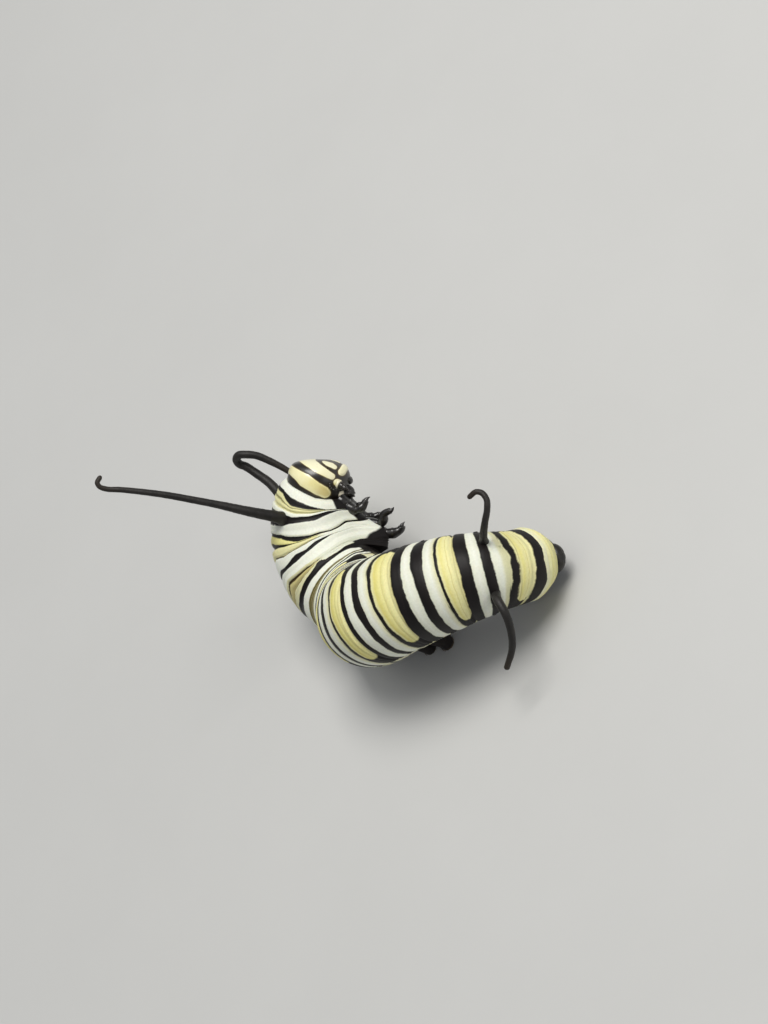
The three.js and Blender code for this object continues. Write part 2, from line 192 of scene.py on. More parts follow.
class Curve:
    """centripetal Catmull-Rom curve through points, by arc length"""

    def __init__(self, pts):
        p = [np.array(q, float) for q in pts]
        p = [2 * p[0] - p[1]] + p + [2 * p[-1] - p[-2]]
        out = []
        for i in range(len(p) - 3):
            p0, p1, p2, p3 = p[i:i + 4]
            t0 = 0.0
            t1 = t0 + max(np.linalg.norm(p1 - p0), 1e-4) ** 0.5
            t2 = t1 + max(np.linalg.norm(p2 - p1), 1e-4) ** 0.5
            t3 = t2 + max(np.linalg.norm(p3 - p2), 1e-4) ** 0.5
            t = np.linspace(t1, t2, 40, endpoint=False)[:, None]
            a1 = (t1 - t) / (t1 - t0) * p0 + (t - t0) / (t1 - t0) * p1
            a2 = (t2 - t) / (t2 - t1) * p1 + (t - t1) / (t2 - t1) * p2
            a3 = (t3 - t) / (t3 - t2) * p2 + (t - t2) / (t3 - t2) * p3
            b1 = (t2 - t) / (t2 - t0) * a1 + (t - t0) / (t2 - t0) * a2
            b2 = (t3 - t) / (t3 - t1) * a2 + (t - t1) / (t3 - t1) * a3
            out.append((t2 - t) / (t2 - t1) * b1 + (t - t1) / (t2 - t1) * b2)
        out.append(p[-2][None])
        self.p = np.concatenate(out)
        self.s = np.concatenate([[0], np.cumsum(np.linalg.norm(np.diff(self.p, axis=0), axis=1))])
        self.length = self.s[-1]

    def at(self, s):
        s = np.clip(np.asarray(s, float), 0, self.length)
        return np.stack([np.interp(s, self.s, self.p[:, k]) for k in range(3)], -1)

    def tangent(self, s, h=0.03):
        return unit(self.at(np.asarray(s) + h) - self.at(np.asarray(s) - h) + 1e-12)


def carried_frames(t, hint):
    e = []
    h = np.array(hint, float)
    for d in t:
        h = unit(h - d * (d @ h))
        e.append(h.copy())
    e = np.array(e)
    return e, np.cross(t, e)


def tube_mesh(mesh, centres, tangents, radii, cols=20, hint=(0.1, 0.2, 1), squash=1.0, modulate=None, **attrs):
    """adds a closed tube; modulate(j, angles) gives a factor on the radius"""
    e1, e2 = carried_frames(tangents, hint)
    ang = np.arange(cols) * 2 * np.pi / cols
    rows = len(centres)
    pts = []
    for j in range(rows):
        m = modulate(j, ang) if modulate else 1.0
        rr = radii[j] * m
        pts.append(centres[j] + (rr * np.cos(ang))[:, None] * e1[j] + (rr * squash * np.sin(ang))[:, None] * e2[j])
    pts.append(centres[:1])
    pts.append(centres[-1:])
    verts = np.concatenate(pts)
    vals = {}
    for key, val in attrs.items():
        val = np.asarray(val, float)
        vals[key] = np.concatenate([np.repeat(val, cols), val[:1], val[-1:]]) if val.ndim else float(val)
    mesh.add(verts, ring_faces(rows, cols), **vals)


# ---------------------------------------------------------------- head frame
HEAD_CENTRE = np.array([-4.851, 3.661, 5.717])
HF = unit(np.array([0.6541, 0.7558, -0.0249]))
HC = np.array([-0.5039, 0.4602, 0.7308])
HC = unit(HC - HF * (HF @ HC))
HR = np.cross(HF, HC)
FACE_SLOPE = (0.945, 0.29)


def head_point(f, c, r):
    f, c, r = (np.asarray(q, float)[..., None] for q in (f, c, r))
    return HEAD_CENTRE + f * HF + c * HC + r * HR


def head_coords(p):
    q = p - HEAD_CENTRE
    return q @ HF, q @ HC, q @ HR


def head_surface(q, a):
    """q from -1 (rear cut) to 1 (front pole) along the shell, a the angle from the crown; head coordinates"""
    front, rear, half, wide = 1.46, 2.0, 1.86, 1.72
    f = np.where(q < 0, rear * np.sin(q * math.asin(1.22 / rear)), front * np.sin(q * np.pi / 2))
    k = np.sqrt(np.maximum(0, 1 - np.where(f < 0, f / rear, f / front) ** 2))
    cs, sn = np.cos(a), np.sin(a)
    narrow = 1 - 0.16 * np.maximum(0, -cs) ** 1.5
    lobe = 1 - 0.05 * np.maximum(0, cs) ** 8
    c = half * k * cs * lobe
    return np.where(f > 0, f * (FACE_SLOPE[0] - FACE_SLOPE[1] * c), f), c, wide * k * sn * narrow


def head_at(f, c):
    """half width of the head at a place given by forward and crown coordinates"""
    s = f / (FACE_SLOPE[0] - FACE_SLOPE[1] * c) if f > 0 else f
    k = math.sqrt(max(0.0, 1 - (s / (1.46 if s > 0 else 2.0)) ** 2))
    cs = max(-1.0, min(1.0, c / (1.86 * max(k, 1e-6))))
    return 1.72 * k * math.sqrt(1 - cs * cs) * (1 - 0.16 * max(0, -cs) ** 1.5)


# ---------------------------------------------------------------- band layout
# Each line: canonical place V, then (angle from the back, u) pairs. The thorax and first abdominal
# rows are the same on both sides; the others are signed (+ is the left side).
THORAX_EDGES = [
    (0.70, [(0, .58), (28, .61), (50, .71), (68, .80), (82, .87), (104, .985), (125, 1.01), (180, 1.0)]),
    (0.84, [(0, .66), (32, .69), (42, .82), (52, .92), (76, .98), (90, .985), (104, .99), (125, 1.015), (180, 1.005)]),
    (0.92, [(0, .80), (28, .82), (52, .97), (76, 1.0), (90, 1.005), (104, 1.0), (125, 1.02), (180, 1.01)]),
    (1.00, [(4, .95), (32, 1.02), (60, 1.11), (82, 1.10), (104, 1.02), (125, 1.03), (180, 1.02)]),
    (1.14, [(10, 1.09), (32, 1.11), (54, 1.20), (80, 1.16), (106, 1.04), (125, 1.04), (180, 1.03)]),
    (1.28, [(0, 1.46), (36, 1.43), (48, 1.38), (64, 1.34), (84, 1.31), (108, 1.13), (122, 1.06), (180, 1.06)]),
    (1.66, [(0, 1.61), (28, 1.65), (44, 1.73), (58, 1.78), (70, 1.82), (82, 1.775), (96, 1.78), (110, 1.66), (124, 1.50), (180, 1.44)]),
    (1.74, [(0, 1.67), (26, 1.74), (42, 1.89), (48, 1.955), (54, 1.97), (62, 1.95), (68, 1.93), (82, 1.86), (96, 1.85), (110, 1.73), (124, 1.58), (180, 1.52)]),
    (1.86, [(0, 1.83), (18, 1.88), (28, 1.92), (40, 1.965), (48, 1.975), (54, 1.985), (62, 1.96), (82, 1.88), (96, 1.87), (110, 1.75), (124, 1.60), (180, 1.54)]),
    (1.92, [(0, 1.96), (18, 1.965), (28, 1.985), (36, 1.985), (44, 1.98), (54, 1.99), (62, 1.97), (82, 1.89), (96, 1.88), (110, 1.76), (124, 1.61), (180, 1.55)]),
    (2.10, [(0, 2.14), (6, 2.16), (20, 2.22), (34, 2.225), (46, 2.22), (58, 2.18), (68, 2.11), (86, 2.0), (100, 1.96), (124, 1.74), (180, 1.66)]),
    (2.36, [(0, 2.44), (12, 2.50), (20, 2.50), (30, 2.45), (38, 2.40), (44, 2.42), (52, 2.44), (60, 2.37), (68, 2.27), (76, 2.22), (88, 2.14), (104, 2.05), (124, 1.86), (180, 1.76)]),
    (2.51, [(0, 2.56), (16, 2.60), (24, 2.62), (32, 2.64), (40, 2.62), (48, 2.59), (56, 2.56), (64, 2.49), (72, 2.41), (80, 2.32), (88, 2.20), (104, 2.10), (124, 1.91), (180, 1.8)]),
    (2.88, [(0, 2.83), (10, 2.89), (20, 2.97), (28, 3.01), (36, 3.05), (40, 3.09), (48, 3.15), (54, 3.17), (68, 3.19), (84, 3.09), (96, 3.0), (124, 2.75), (140, 2.60), (180, 2.5)]),
    (2.95, [(0, 2.91), (12, 3.01), (22, 3.06), (32, 3.10), (38, 3.14), (48, 3.165), (54, 3.18), (68, 3.205), (84, 3.11), (96, 3.02), (124, 2.78), (140, 2.63), (180, 2.53)]),
    (3.05, [(0, 3.13), (14, 3.18), (24, 3.20), (38, 3.22), (48, 3.20), (54, 3.21), (68, 3.24), (84, 3.14), (96, 3.08), (124, 2.84), (140, 2.7), (180, 2.6)]),
    (3.35, [(0, 3.35), (10, 3.36), (16, 3.34), (32, 3.35), (42, 3.32), (47, 3.24), (53, 3.25), (57, 3.40), (64, 3.42), (72, 3.45), (80, 3.39), (88, 3.28), (96, 3.23), (112, 3.12), (140, 2.95), (180, 2.9)]),
    (3.51, [(0, 3.56), (18, 3.58), (28, 3.59), (36, 3.63), (50, 3.67), (66, 3.66), (82, 3.60), (88, 3.60), (104, 3.66), (124, 3.6), (180, 3.5)]),
    (3.74, [(0, 3.89), (16, 3.93), (26, 3.98), (36, 4.03), (44, 4.10), (60, 4.16), (68, 4.2), (80, 4.06), (98, 3.86), (124, 3.75), (180, 3.7)]),
    (3.78, [(0, 3.925), (16, 3.965), (26, 4.01), (36, 4.055), (44, 4.115), (60, 4.165), (68, 4.205), (80, 4.065), (98, 3.87), (124, 3.78), (180, 3.73)]),
    (4.04, [(0, 4.12), (16, 4.14), (36, 4.17), (50, 4.22), (66, 4.25), (80, 4.08), (98, 3.89), (124, 3.82), (180, 3.8)]),
    (4.12, [(0, 4.16), (16, 4.18), (36, 4.20), (50, 4.23), (66, 4.255), (80, 4.085), (98, 3.90), (124, 3.86), (180, 3.84)]),
    (4.36, [(0, 4.45), (12, 4.44), (18, 4.39), (42, 4.40), (50, 4.46), (58, 4.44), (66, 4.41), (80, 4.16), (98, 3.96), (124, 3.93), (180, 3.9)]),
    (4.52, [(0, 4.60), (18, 4.55), (42, 4.56), (58, 4.58), (66, 4.54), (80, 4.30), (98, 4.10), (124, 4.06), (180, 4.0)]),
    (4.66, [(0, 4.74), (42, 4.72), (66, 4.68), (80, 4.44), (98, 4.30), (124, 4.26), (180, 4.2)]),
    (4.74, [(0, 4.80), (42, 4.78), (66, 4.75), (80, 4.52), (98, 4.38), (124, 4.36), (180, 4.3)]),
]
ABDOMEN_EDGES = [
    (5.03, [(0, 5.04)]), (5.19, [(0, 5.17)]), (5.37, [(0, 5.34)]), (5.53, [(0, 5.47)]), (5.73, [(0, 5.69)]), (5.79, [(0, 5.76)]),
    (6.03, [(0, 6.05)]), (6.19, [(0, 6.17)]), (6.37, [(0, 6.35)]), (6.53, [(0, 6.49)]), (6.73, [(0, 6.70)]), (6.79, [(0, 6.77)]),
    (7.03, [(-60, 7.03), (0, 7.07), (40, 7.07)]),
    (7.19, [(-60, 7.09), (-42, 7.12), (0, 7.18), (40, 7.18)]),
    (7.37, [(-60, 7.14), (-42, 7.17), (-28, 7.24), (-16, 7.34), (0, 7.37), (40, 7.36)]),
    (7.53, [(-60, 7.22), (-42, 7.25), (-30, 7.38), (-16, 7.49), (0, 7.52), (14, 7.505), (40, 7.49)]),
    (7.73, [(-60, 7.50), (-44, 7.56), (-32, 7.63), (-18, 7.71), (0, 7.72), (24, 7.735), (45, 7.74)]),
    (7.79, [(-60, 7.72), (-44, 7.755), (-32, 7.75), (-18, 7.77), (0, 7.78), (24, 7.81), (45, 7.82)]),
    (8.03, [(-58, 7.90), (-38, 8.04), (-20, 8.065), (0, 8.08), (30, 8.09)]),
    (8.19, [(-54, 8.09), (-36, 8.15), (-18, 8.165), (0, 8.17), (36, 8.18)]),
    (8.37, [(-52, 8.22), (-32, 8.31), (-12, 8.325), (2, 8.335), (18, 8.36), (42, 8.37)]),
    (8.53, [(-48, 8.39), (-30, 8.45), (-14, 8.46), (4, 8.48), (22, 8.49), (44, 8.50)]),
    (8.73, [(-42, 8.61), (-26, 8.64), (-10, 8.65), (8, 8.66), (26, 8.68), (48, 8.70)]),
    (8.79, [(-40, 8.70), (-22, 8.71), (0, 8.72), (10, 8.725), (26, 8.75), (46, 8.79)]),
    (9.03, [(-32, 9.05), (0, 9.045), (18, 9.04), (38, 9.01)]),
    (9.19, [(0, 9.21)]),
    (9.37, [(-24, 9.36), (-12, 9.38), (4, 9.39), (18, 9.39), (40, 9.37)]),
    (9.53, [(0, 9.545)]),
    (9.73, [(-14, 9.72), (0, 9.735), (28, 9.75)]),
    (9.79, [(-14, 9.765), (0, 9.775), (28, 9.79), (44, 9.80)]),
    (10.03, [(-44, 10.01), (0, 10.035), (20, 10.03), (46, 10.0)]),
    (10.19, [(0, 10.205)]),
    (10.37, [(-36, 10.37), (12, 10.38), (26, 10.39)]),
    (10.53, [(-32, 10.52), (4, 10.53), (20, 10.55), (38, 10.58)]),
    (10.73, [(-30, 10.78), (-12, 10.83), (4, 10.83), (20, 10.81), (38, 10.76)]),
    (10.79, [(-30, 10.93), (-14, 10.96), (2, 10.97), (20, 10.97), (38, 10.93)]),
    (11.03, [(-24, 11.37), (-6, 11.33), (14, 11.32), (32, 11.30), (48, 11.25)]),
    (11.19, [(-16, 11.66), (2, 11.61), (20, 11.67), (32, 11.735), (50, 11.71)]),
]


def wobble(seed, phi, amp):
    """small irregular shift of an edge round the body; the same at both ends of the turn"""
    g = np.random.default_rng(seed)
    out = np.zeros_like(phi)
    for k in (2, 3, 5, 7, 11):
        out += g.normal() / k ** 0.5 * np.sin(k * phi + g.uniform(0, 6.28))
    return amp * out / 2


def band_coordinate(u, phi):
    """u and phi are grids (rows x columns of constant phi); canonical band coordinate V"""
    deg = np.degrees(phi)
    cols = deg.shape[1]
    a = np.abs(deg[0])
    table_u = [np.full(cols, -1.0), np.full(cols, 0.30)]
    table_v = [-1.0, 0.30]
    for n, (v, pts) in enumerate(THORAX_EDGES):
        p = np.array(pts, float)
        table_u.append(np.interp(a, p[:, 0], p[:, 1]) + wobble(100 + n, phi[0], 0.004))
        table_v.append(v)
    for n, (v, pts) in enumerate(ABDOMEN_EDGES):
        p = np.array(pts, float)
        val = np.interp(deg[0], p[:, 0], p[:, 1])
        mean = 0.5 * (np.interp(a, p[:, 0], p[:, 1]) + np.interp(-a, p[:, 0], p[:, 1]))
        w = smooth((a - 70) / 70)
        table_u.append(val * (1 - w) + mean * w + wobble(200 + n, phi[0], 0.006))
        table_v.append(v)
    table_u += [np.full(cols, 12.0), np.full(cols, 14.0)]
    table_v += [12.0, 14.0]
    tu, tv = np.array(table_u), np.array(table_v)
    tu = np.maximum.accumulate(tu + np.arange(len(tu))[:, None] * 2e-4, axis=0)
    out = np.empty_like(u)
    for k in range(cols):
        out[:, k] = np.interp(u[:, k], tu[:, k], tv)
    return out


# ---------------------------------------------------------------- skin
PROLEGS = [
    ("proleg_A3_left", 5.5, -30, 0.2, 0, 0.52, 0.42), ("proleg_A3_right", 5.25, 32, 0.25, 0, 0.50, 0.42),
    ("proleg_A4_left", 6.5, -30, 0.2, 0, 0.54, 0.42), ("proleg_A4_right", 6.35, 34, 0.1, 0.95, 0.42, 0.36),
    ("proleg_A5_left", 7.5, -30, 0.25, 0, 0.62, 0.46), ("proleg_A5_right", 7.75, 40, 0.1, 0.95, 0.46, 0.38),
    ("proleg_A6_left", 8.5, -28, 0.1, 1.25, 0.72, 0.48), ("proleg_A6_right", 8.65, 28, 0.1, 1.25, 0.70, 0.48),
    ("anal_proleg_left", 12.7, -48, -0.515, 0, 0.52, 0.46), ("anal_proleg_right", 12.7, 48, -0.515, 0, 0.52, 0.46),
]
# swollen bases of the jointed legs: middle, direction, length and width of the swelling
COXAE = [((-3.86, 2.34, 4.88), (0.67, -0.65, -0.57), 0.22, 0.55), ((-4.06, 1.55, 3.91), (1.19, -0.29, -0.59), 0.42, 0.75),
         ((-3.86, 0.96, 3.05), (1.112, -0.165, -0.544), 1.25, 0.72), ((-5.04, 3.29, 4.01), (0.55, -0.32, -0.82), 0.20, 0.55),
         ((-5.08, 2.69, 2.90), (0.62, -0.11, -0.74), 0.35, 0.70), ((-5.60, 0.35, 1.60), (0.3, 0.4, -0.6), 0.30, 0.60)]
RIM = [(0, -0.88), (8, -0.90), (23, -1.04), (50, -1.10), (70, -1.09), (89, -1.05), (106, -1.0), (124, -0.76), (133, -0.55), (139, -0.38), (150, -0.15),
       (165, -0.05), (180, 0.0)]


def creases(v):
    """depth of the cross folds, as a share of the radius, by band coordinate"""
    k = np.zeros_like(v)
    for place, depth, width in ((0.80, 0.012, 0.03), (0.92, 0.020, 0.022), (1.0, 0.060, 0.030), (1.21, 0.014, 0.05), (1.47, 0.014, 0.09), (1.70, 0.034, 0.05),
                                (1.90, 0.066, 0.034), (2.10, 0.038, 0.026), (2.43, 0.020, 0.07), (2.66, 0.012, 0.05), (2.91, 0.050, 0.036), (3.05, 0.040, 0.026),
                                (3.20, 0.014, 0.04), (3.43, 0.018, 0.05), (3.76, 0.036, 0.028), (4.08, 0.060, 0.032), (4.44, 0.018, 0.05), (4.70, 0.022, 0.03)):
        k += depth * bump(v - place, width)
    s = v - np.floor(v)
    abd = smooth((v - 4.75) / 0.1) * smooth((11.9 - v) / 0.1)
    for place, depth, width in ((0.995, 0.046, 0.030), (-0.005, 0.046, 0.030), (0.20, 0.010, 0.022), (0.37, 0.012, 0.022), (0.53, 0.010, 0.022),
                                (0.72, 0.014, 0.024), (0.80, 0.005, 0.018), (0.908, 0.011, 0.018)):
        k += depth * bump(s - place, width) * abd
    k += 0.050 * bump(v - 12.0, 0.05) + 0.018 * bump(v - 11.55, 0.05)
    return k


def segment_profile(u, phi, v):
    """factor on the body radius: folds between segments, annulets, side fold, flat belly"""
    a = np.abs(np.degrees(phi))
    # low on the sides the folds of the second and third rings run together and flatten out
    flat = 1 - 0.8 * smooth((a - 68) / 22) * (v > 1.78) * (v < 2.42)
    k = 1.022 - 0.022 * smooth((u - 9.6) / 1.2) - creases(v) * flat
    s = v - np.floor(v)
    seg = np.sin(np.pi * np.clip(s, 0, 1)) ** 0.6
    rear = smooth((12.2 - u) / 0.6)
    abd = smooth((u - 3.1) / 0.6) * rear
    k += (0.014 * bump(a - 112, 10) * seg - 0.022 * bump(a - 97, 6) * seg + 0.008 * bump(a - 132, 10) * seg) * abd
    k -= 0.030 * smooth((a - 148) / 30) * abd
    # the outer side of the bend is drawn out a little
    k += 0.018 * bump(u - 2.9, 1.1) * np.exp(-(np.degrees(phi) / 45) ** 2)
    return k


def radial_offset(u, phi, base):
    """slow irregular swell of the skin, in mm"""
    out = np.zeros_like(u)
    g = np.random.default_rng(5)
    for _ in range(14):
        ku, kp, ph = g.uniform(2.0, 9.0), g.integers(1, 7), g.uniform(0, 6.28)
        out += np.sin(ku * u + kp * phi + ph) * g.uniform(0.3, 1.0)
    return -0.010 + 0.0045 * out * smooth(u - 0.5)


def lowering(u, normal):
    """the upper contour of the abdomen lies a little lower than the round body, in mm"""
    face = smooth(((normal @ CAM_R[:, 1]) - 0.35) / 0.6) * smooth((u - 5.9) / 1.3) * smooth((12.2 - u) / 0.9)
    return -(0.19 * face)[..., None] * CAM_R[:, 1]


def skin_rows():
    uu = np.linspace(0.50, 13.0, 5001)
    near = np.abs(uu - np.round(uu))
    dens = spline(uu)[2] * (1 + 0.9 * np.exp(-(near / 0.06) ** 2))
    cum = np.concatenate([[0], np.cumsum((dens[1:] + dens[:-1]) / 2 * np.diff(uu))])
    rows = np.interp(np.linspace(0, cum[-1], 490), cum, uu)
    return rows


def build_skin():
    cols = 172
    rows = skin_rows()
    phi1 = (np.arange(cols) + 0.5) / cols * 2 * np.pi - np.pi
    U, PHI = np.meshgrid(rows, phi1, indexing="ij")
    c, t, d, left, r, speed = body_frame(rows)
    n = np.cos(PHI)[..., None] * d[:, None] + np.sin(PHI)[..., None] * left[:, None]
    V = band_coordinate(U, PHI)
    k = segment_profile(U, PHI, V)
    k *= 1 - 0.26 * smooth((U - 12.74) / 0.26) ** 1.6
    R = r[:, None] * k + radial_offset(U, PHI, r)
    P = c[:, None] + R[..., None] * n
    # collar: the front rows run onto the head shell, along the line where the head sits in the neck
    j = int(np.searchsorted(rows, 0.62))
    hf, hc, hr = head_coords(P[j])
    alpha = np.arctan2(hr, hc)
    rim = np.array(RIM)
    rf = np.interp(np.degrees(np.abs(alpha)), rim[:, 0], rim[:, 1])
    q = np.arcsin(np.clip(rf / 2.0, -1, 0)) / math.asin(1.22 / 2.0)
    ef, ec, er = head_surface(q, alpha)
    edge_in = head_point(ef, ec * 1.012, er * 1.012)
    w = smooth((0.86 - U) / 0.34)[..., None]
    P = P * (1 - w) + edge_in[None] * w
    out = (n - (n @ HF)[..., None] * HF)
    P = P + out * (0.085 * np.sin(np.pi * np.clip((U - 0.50) / 0.30, 0, 1)) ** 0.8)[..., None]
    # no part of the collar inside the head
    hf, hc, hr = head_coords(P)
    kk = np.sqrt(np.maximum(0.05, 1 - (np.minimum(hf, 0) / 2.0) ** 2))
    e = np.sqrt((hc / (1.86 * kk)) ** 2 + (hr / (1.72 * kk)) ** 2)
    lim = np.where((U < 1.1) & (hf > -1.25) & (hf < 0.6), 1.012 + 0.022 * smooth((U - 0.60) / 0.1), 0.0)
    push = np.where((e < lim) & (e > 0.3), lim / np.maximum(e, 1e-6), 1.0)
    P = P + ((push - 1) * hc)[..., None] * HC + ((push - 1) * hr)[..., None] * HR
    P = P + lowering(U, n)
    # place of the front rows on the body, for their colours
    m = U < 1.0
    ue = U.copy()
    for _ in range(4):
        cc, tt, _, _, _, sp = body_frame(ue[m])
        ue[m] = np.clip(ue[m] + ((P[m] - cc) * tt).sum(-1) / sp, 0.0, 1.3)
    UE = np.where(m, ue * smooth((1.0 - U) / 0.12) + U * (1 - smooth((1.0 - U) / 0.12)), U)
    V = band_coordinate(np.maximum.accumulate(UE, axis=0), PHI)
    # the white front of the collar stays clear of the black band's edge on the left
    V = V - 0.05 * smooth(np.sin(PHI) / 0.3) * (U < 1.0) * (1 - smooth((V - 0.70) / 0.04))
    # swollen bases of the jointed legs
    COX = np.zeros_like(U)
    cb, db, _, rb = radial(2.86, -131)
    for base, direction, length, width in COXAE + [(tuple(cb + db * rb * 0.8), (1.06, -0.20, -0.50), 0.80, 0.70)]:
        b0, dd = np.array(base), unit(np.array(direction))
        qv = P - b0
        ax = qv @ dd
        rho = np.linalg.norm(qv - ax[..., None] * dd, axis=-1)
        g = np.exp(-(rho / width) ** 2.1) * (ax > -1.3) * (ax < 1.5) * smooth((3.5 - U) / 0.2) * smooth(((n @ dd) - 0.02) / 0.25)
        P = P + (g * length)[..., None] * dd
        COX = np.maximum(COX, g * (length > 0.1))
    # fleshy legs of the abdomen: the grid near each base is drawn out along it
    LEG = np.zeros_like(U)
    P0 = P.copy()
    nearness = []
    for name, u0, off, reach, z, r_base, r_foot in PROLEGS:
        c0, dr, t0, r0 = radial(u0, 180 + off)
        q = P0 - (c0 + dr * r0)
        nearness.append(np.where((P0 - c0) @ dr > 0.2 * r0, np.hypot(q @ t0, q @ np.cross(dr, t0)) / (r_base * 1.62), 9.0))
    owner = np.argmin(nearness, axis=0)
    for number, (name, u0, off, reach, z, r_base, r_foot) in enumerate(PROLEGS):
        c0, dr, t0, r0 = radial(u0, 180 + off)
        edge = c0 + dr * r0
        outv = np.array([dr[0], dr[1], 0])
        foot = edge + dr * z + np.array([0, 0, -0.15]) if z > 0 else edge + outv * reach
        if z == 0:
            foot = np.array([foot[0], foot[1], 0.0])
        along = dr if z > 0 else np.array([0, 0, -1.0])
        side = np.cross(dr, t0)
        q = P0 - edge
        x, y = q @ t0, q @ side
        rho = np.hypot(x, y)
        outer = r_base * 1.62
        m = (rho < outer) & ((P0 - c0) @ dr > 0.2 * r0) & (owner == number)
        s = rho[m] / outer
        ca, sa = x[m] / np.maximum(rho[m], 1e-9), y[m] / np.maximum(rho[m], 1e-9)
        # s -> place along the leg (1 foot, 0 body) and radius
        h = np.interp(s, [0, 0.22, 0.30, 0.80, 1.0], [1.0, 1.0, 0.97, 0.10, 0.0])
        rad = np.interp(h, [0, 0.10, 0.35, 0.62, 0.80, 0.93, 1.0],
                        [r_base * 1.45, r_base * 1.12, r_base * 0.98, (r_base + r_foot) * 0.44, r_foot * 0.90, r_foot * 1.0, r_foot * 0.93])
        rad = np.where(s < 0.22, r_foot * 0.93 * s / 0.22, rad)
        start = edge - dr * 0.12
        ctrl = edge + dr * np.linalg.norm(foot - edge) * 0.45
        hh = h[:, None]
        centre = (1 - hh) ** 2 * start + 2 * hh * (1 - hh) * ctrl + hh ** 2 * foot
        tang = unit(2 * (1 - hh) * (ctrl - start) + 2 * hh * (foot - ctrl))
        tang = unit(tang * (1 - hh ** 4) + along * hh ** 4)
        e1 = unit(t0 - tang * (tang @ t0)[:, None])
        e2 = np.cross(tang, e1)
        ribs = 1 + 0.035 * np.sin(h * 26) * (h > 0.15) * (h < 0.9)
        target = centre + (rad * ribs)[:, None] * (ca[:, None] * e1 + sa[:, None] * e2)
        dome = r_foot * 0.10 * (1 - np.clip(s / 0.22, 0, 1) ** 2)
        if z > 0:
            target += along * (dome * (s < 0.22))[:, None]
        w = (smooth((1.0 - s) / 0.22) * smooth((13.0 - U[m]) / 0.08))[:, None]
        P[m] = P[m] * (1 - w) + target * w
        LEG[m] = np.maximum(LEG[m], (h * w[:, 0]))
    P[..., 2] = np.maximum(P[..., 2], 0.0)
    verts = P.reshape(-1, 3)
    # front end: rolls in under the head; rear end: closed dome
    nn = len(rows) * cols
    faces = []
    for j in range(len(rows) - 1):
        for i in range(cols):
            a0, b0 = j * cols + i, j * cols + (i + 1) % cols
            faces.append((a0, b0, b0 + cols, a0 + cols))
    add_v, add_u, add_phi, add_V = [], [], [], []
    prev = np.arange(cols)
    base0 = P[0]
    t_in = -HF
    at = nn
    for f_in, f_r in ((-0.02, 0.965), (0.03, 0.90), (0.06, 0.80), (0.08, 0.60), (0.10, 0.35)):
        ring = base0.mean(0) + (base0 - base0.mean(0)) * f_r + t_in * f_in
        add_v.append(ring)
        add_u.append(np.full(cols, 0.5)); add_phi.append(phi1); add_V.append(V[0])
        cur = np.arange(cols) + at
        for i in range(cols):
            faces.append((cur[i], cur[(i + 1) % cols], prev[(i + 1) % cols], prev[i]))
        prev = cur
        at += cols
    add_v.append((base0.mean(0) + t_in * 0.11)[None])
    add_u.append([0.5]); add_phi.append([0.0]); add_V.append([0.4])
    faces += [(at, prev[(i + 1) % cols], prev[i]) for i in range(cols)]
    at += 1
    last = P[-1]
    m_last = last.mean(0)
    t_end = t[-1]
    prev = np.arange(cols) + (len(rows) - 1) * cols
    for f_r, f_out in ((0.93, 0.10), (0.80, 0.20), (0.60, 0.28), (0.35, 0.33), (0.14, 0.35)):
        ring = m_last + (last - m_last) * f_r + t_end * f_out
        add_v.append(ring)
        add_u.append(np.full(cols, 13.0)); add_phi.append(phi1); add_V.append(np.full(cols, 13.0))
        cur = np.arange(cols) + at
        for i in range(cols):
            faces.append((prev[i], prev[(i + 1) % cols], cur[(i + 1) % cols], cur[i]))
        prev = cur
        at += cols
    add_v.append((m_last + t_end * 0.355)[None])
    add_u.append([13.0]); add_phi.append([0.0]); add_V.append([13.0])
    faces += [(at, prev[i], prev[(i + 1) % cols]) for i in range(cols)]
    verts = np.concatenate([verts] + add_v)
    verts[:, 2] = np.maximum(verts[:, 2], 0.0)
    uu = np.concatenate([U.ravel()] + [np.asarray(q, float) for q in add_u])
    pp = np.concatenate([PHI.ravel()] + [np.asarray(q, float) for q in add_phi])
    vv = np.concatenate([V.ravel()] + [np.asarray(q, float) for q in add_V])
    ll = np.concatenate([LEG.ravel(), np.zeros(len(verts) - nn)])
    cx = np.concatenate([COX.ravel(), np.zeros(len(verts) - nn)])
    return make_object("skin", verts, faces, True, {
        "U": uu, "V": vv, "AP": np.abs(pp) / np.pi, "SN": np.sin(pp), "LEG": ll, "COX": cx})


skin = build_skin()

# ---------------------------------------------------------------- head


OUTER_REAR = [(-1.9, -0.60), (-1.1, -0.62), (-0.9, -0.72), (-0.33, -0.82), (0.35, -0.83), (0.69, -0.82), (1.12, -0.69), (1.77, -0.54), (1.9, -0.52)]
OUTER_FRONT = [(-1.9, -0.12), (-1.0, -0.12), (-0.73, -0.05), (-0.21, -0.07), (0.53, -0.01), (1.18, -0.04), (1.9, -0.07)]
INNER_REAR = [(-1.9, 0.44), (-0.8, 0.41), (-0.49, 0.36), (0.03, 0.31), (0.71, 0.31), (1.34, 0.34), (1.9, 0.38)]
INNER_FRONT = [(-1.9, 0.80), (-0.69, 0.81), (-0.35, 0.82), (0.23, 0.87), (0.68, 0.93), (1.0, 1.2), (1.9, 1.4)]
PATCH_REAR = [(-0.75, 1.08), (-0.68, 1.05), (-0.39, 0.99), (0.0, 0.95), (0.41, 1.02), (0.6, 1.06)]
PATCH_FRONT = [(-0.75, 1.27), (-0.61, 1.28), (-0.24, 1.31), (0.22, 1.18), (0.41, 1.07), (0.6, 1.04)]


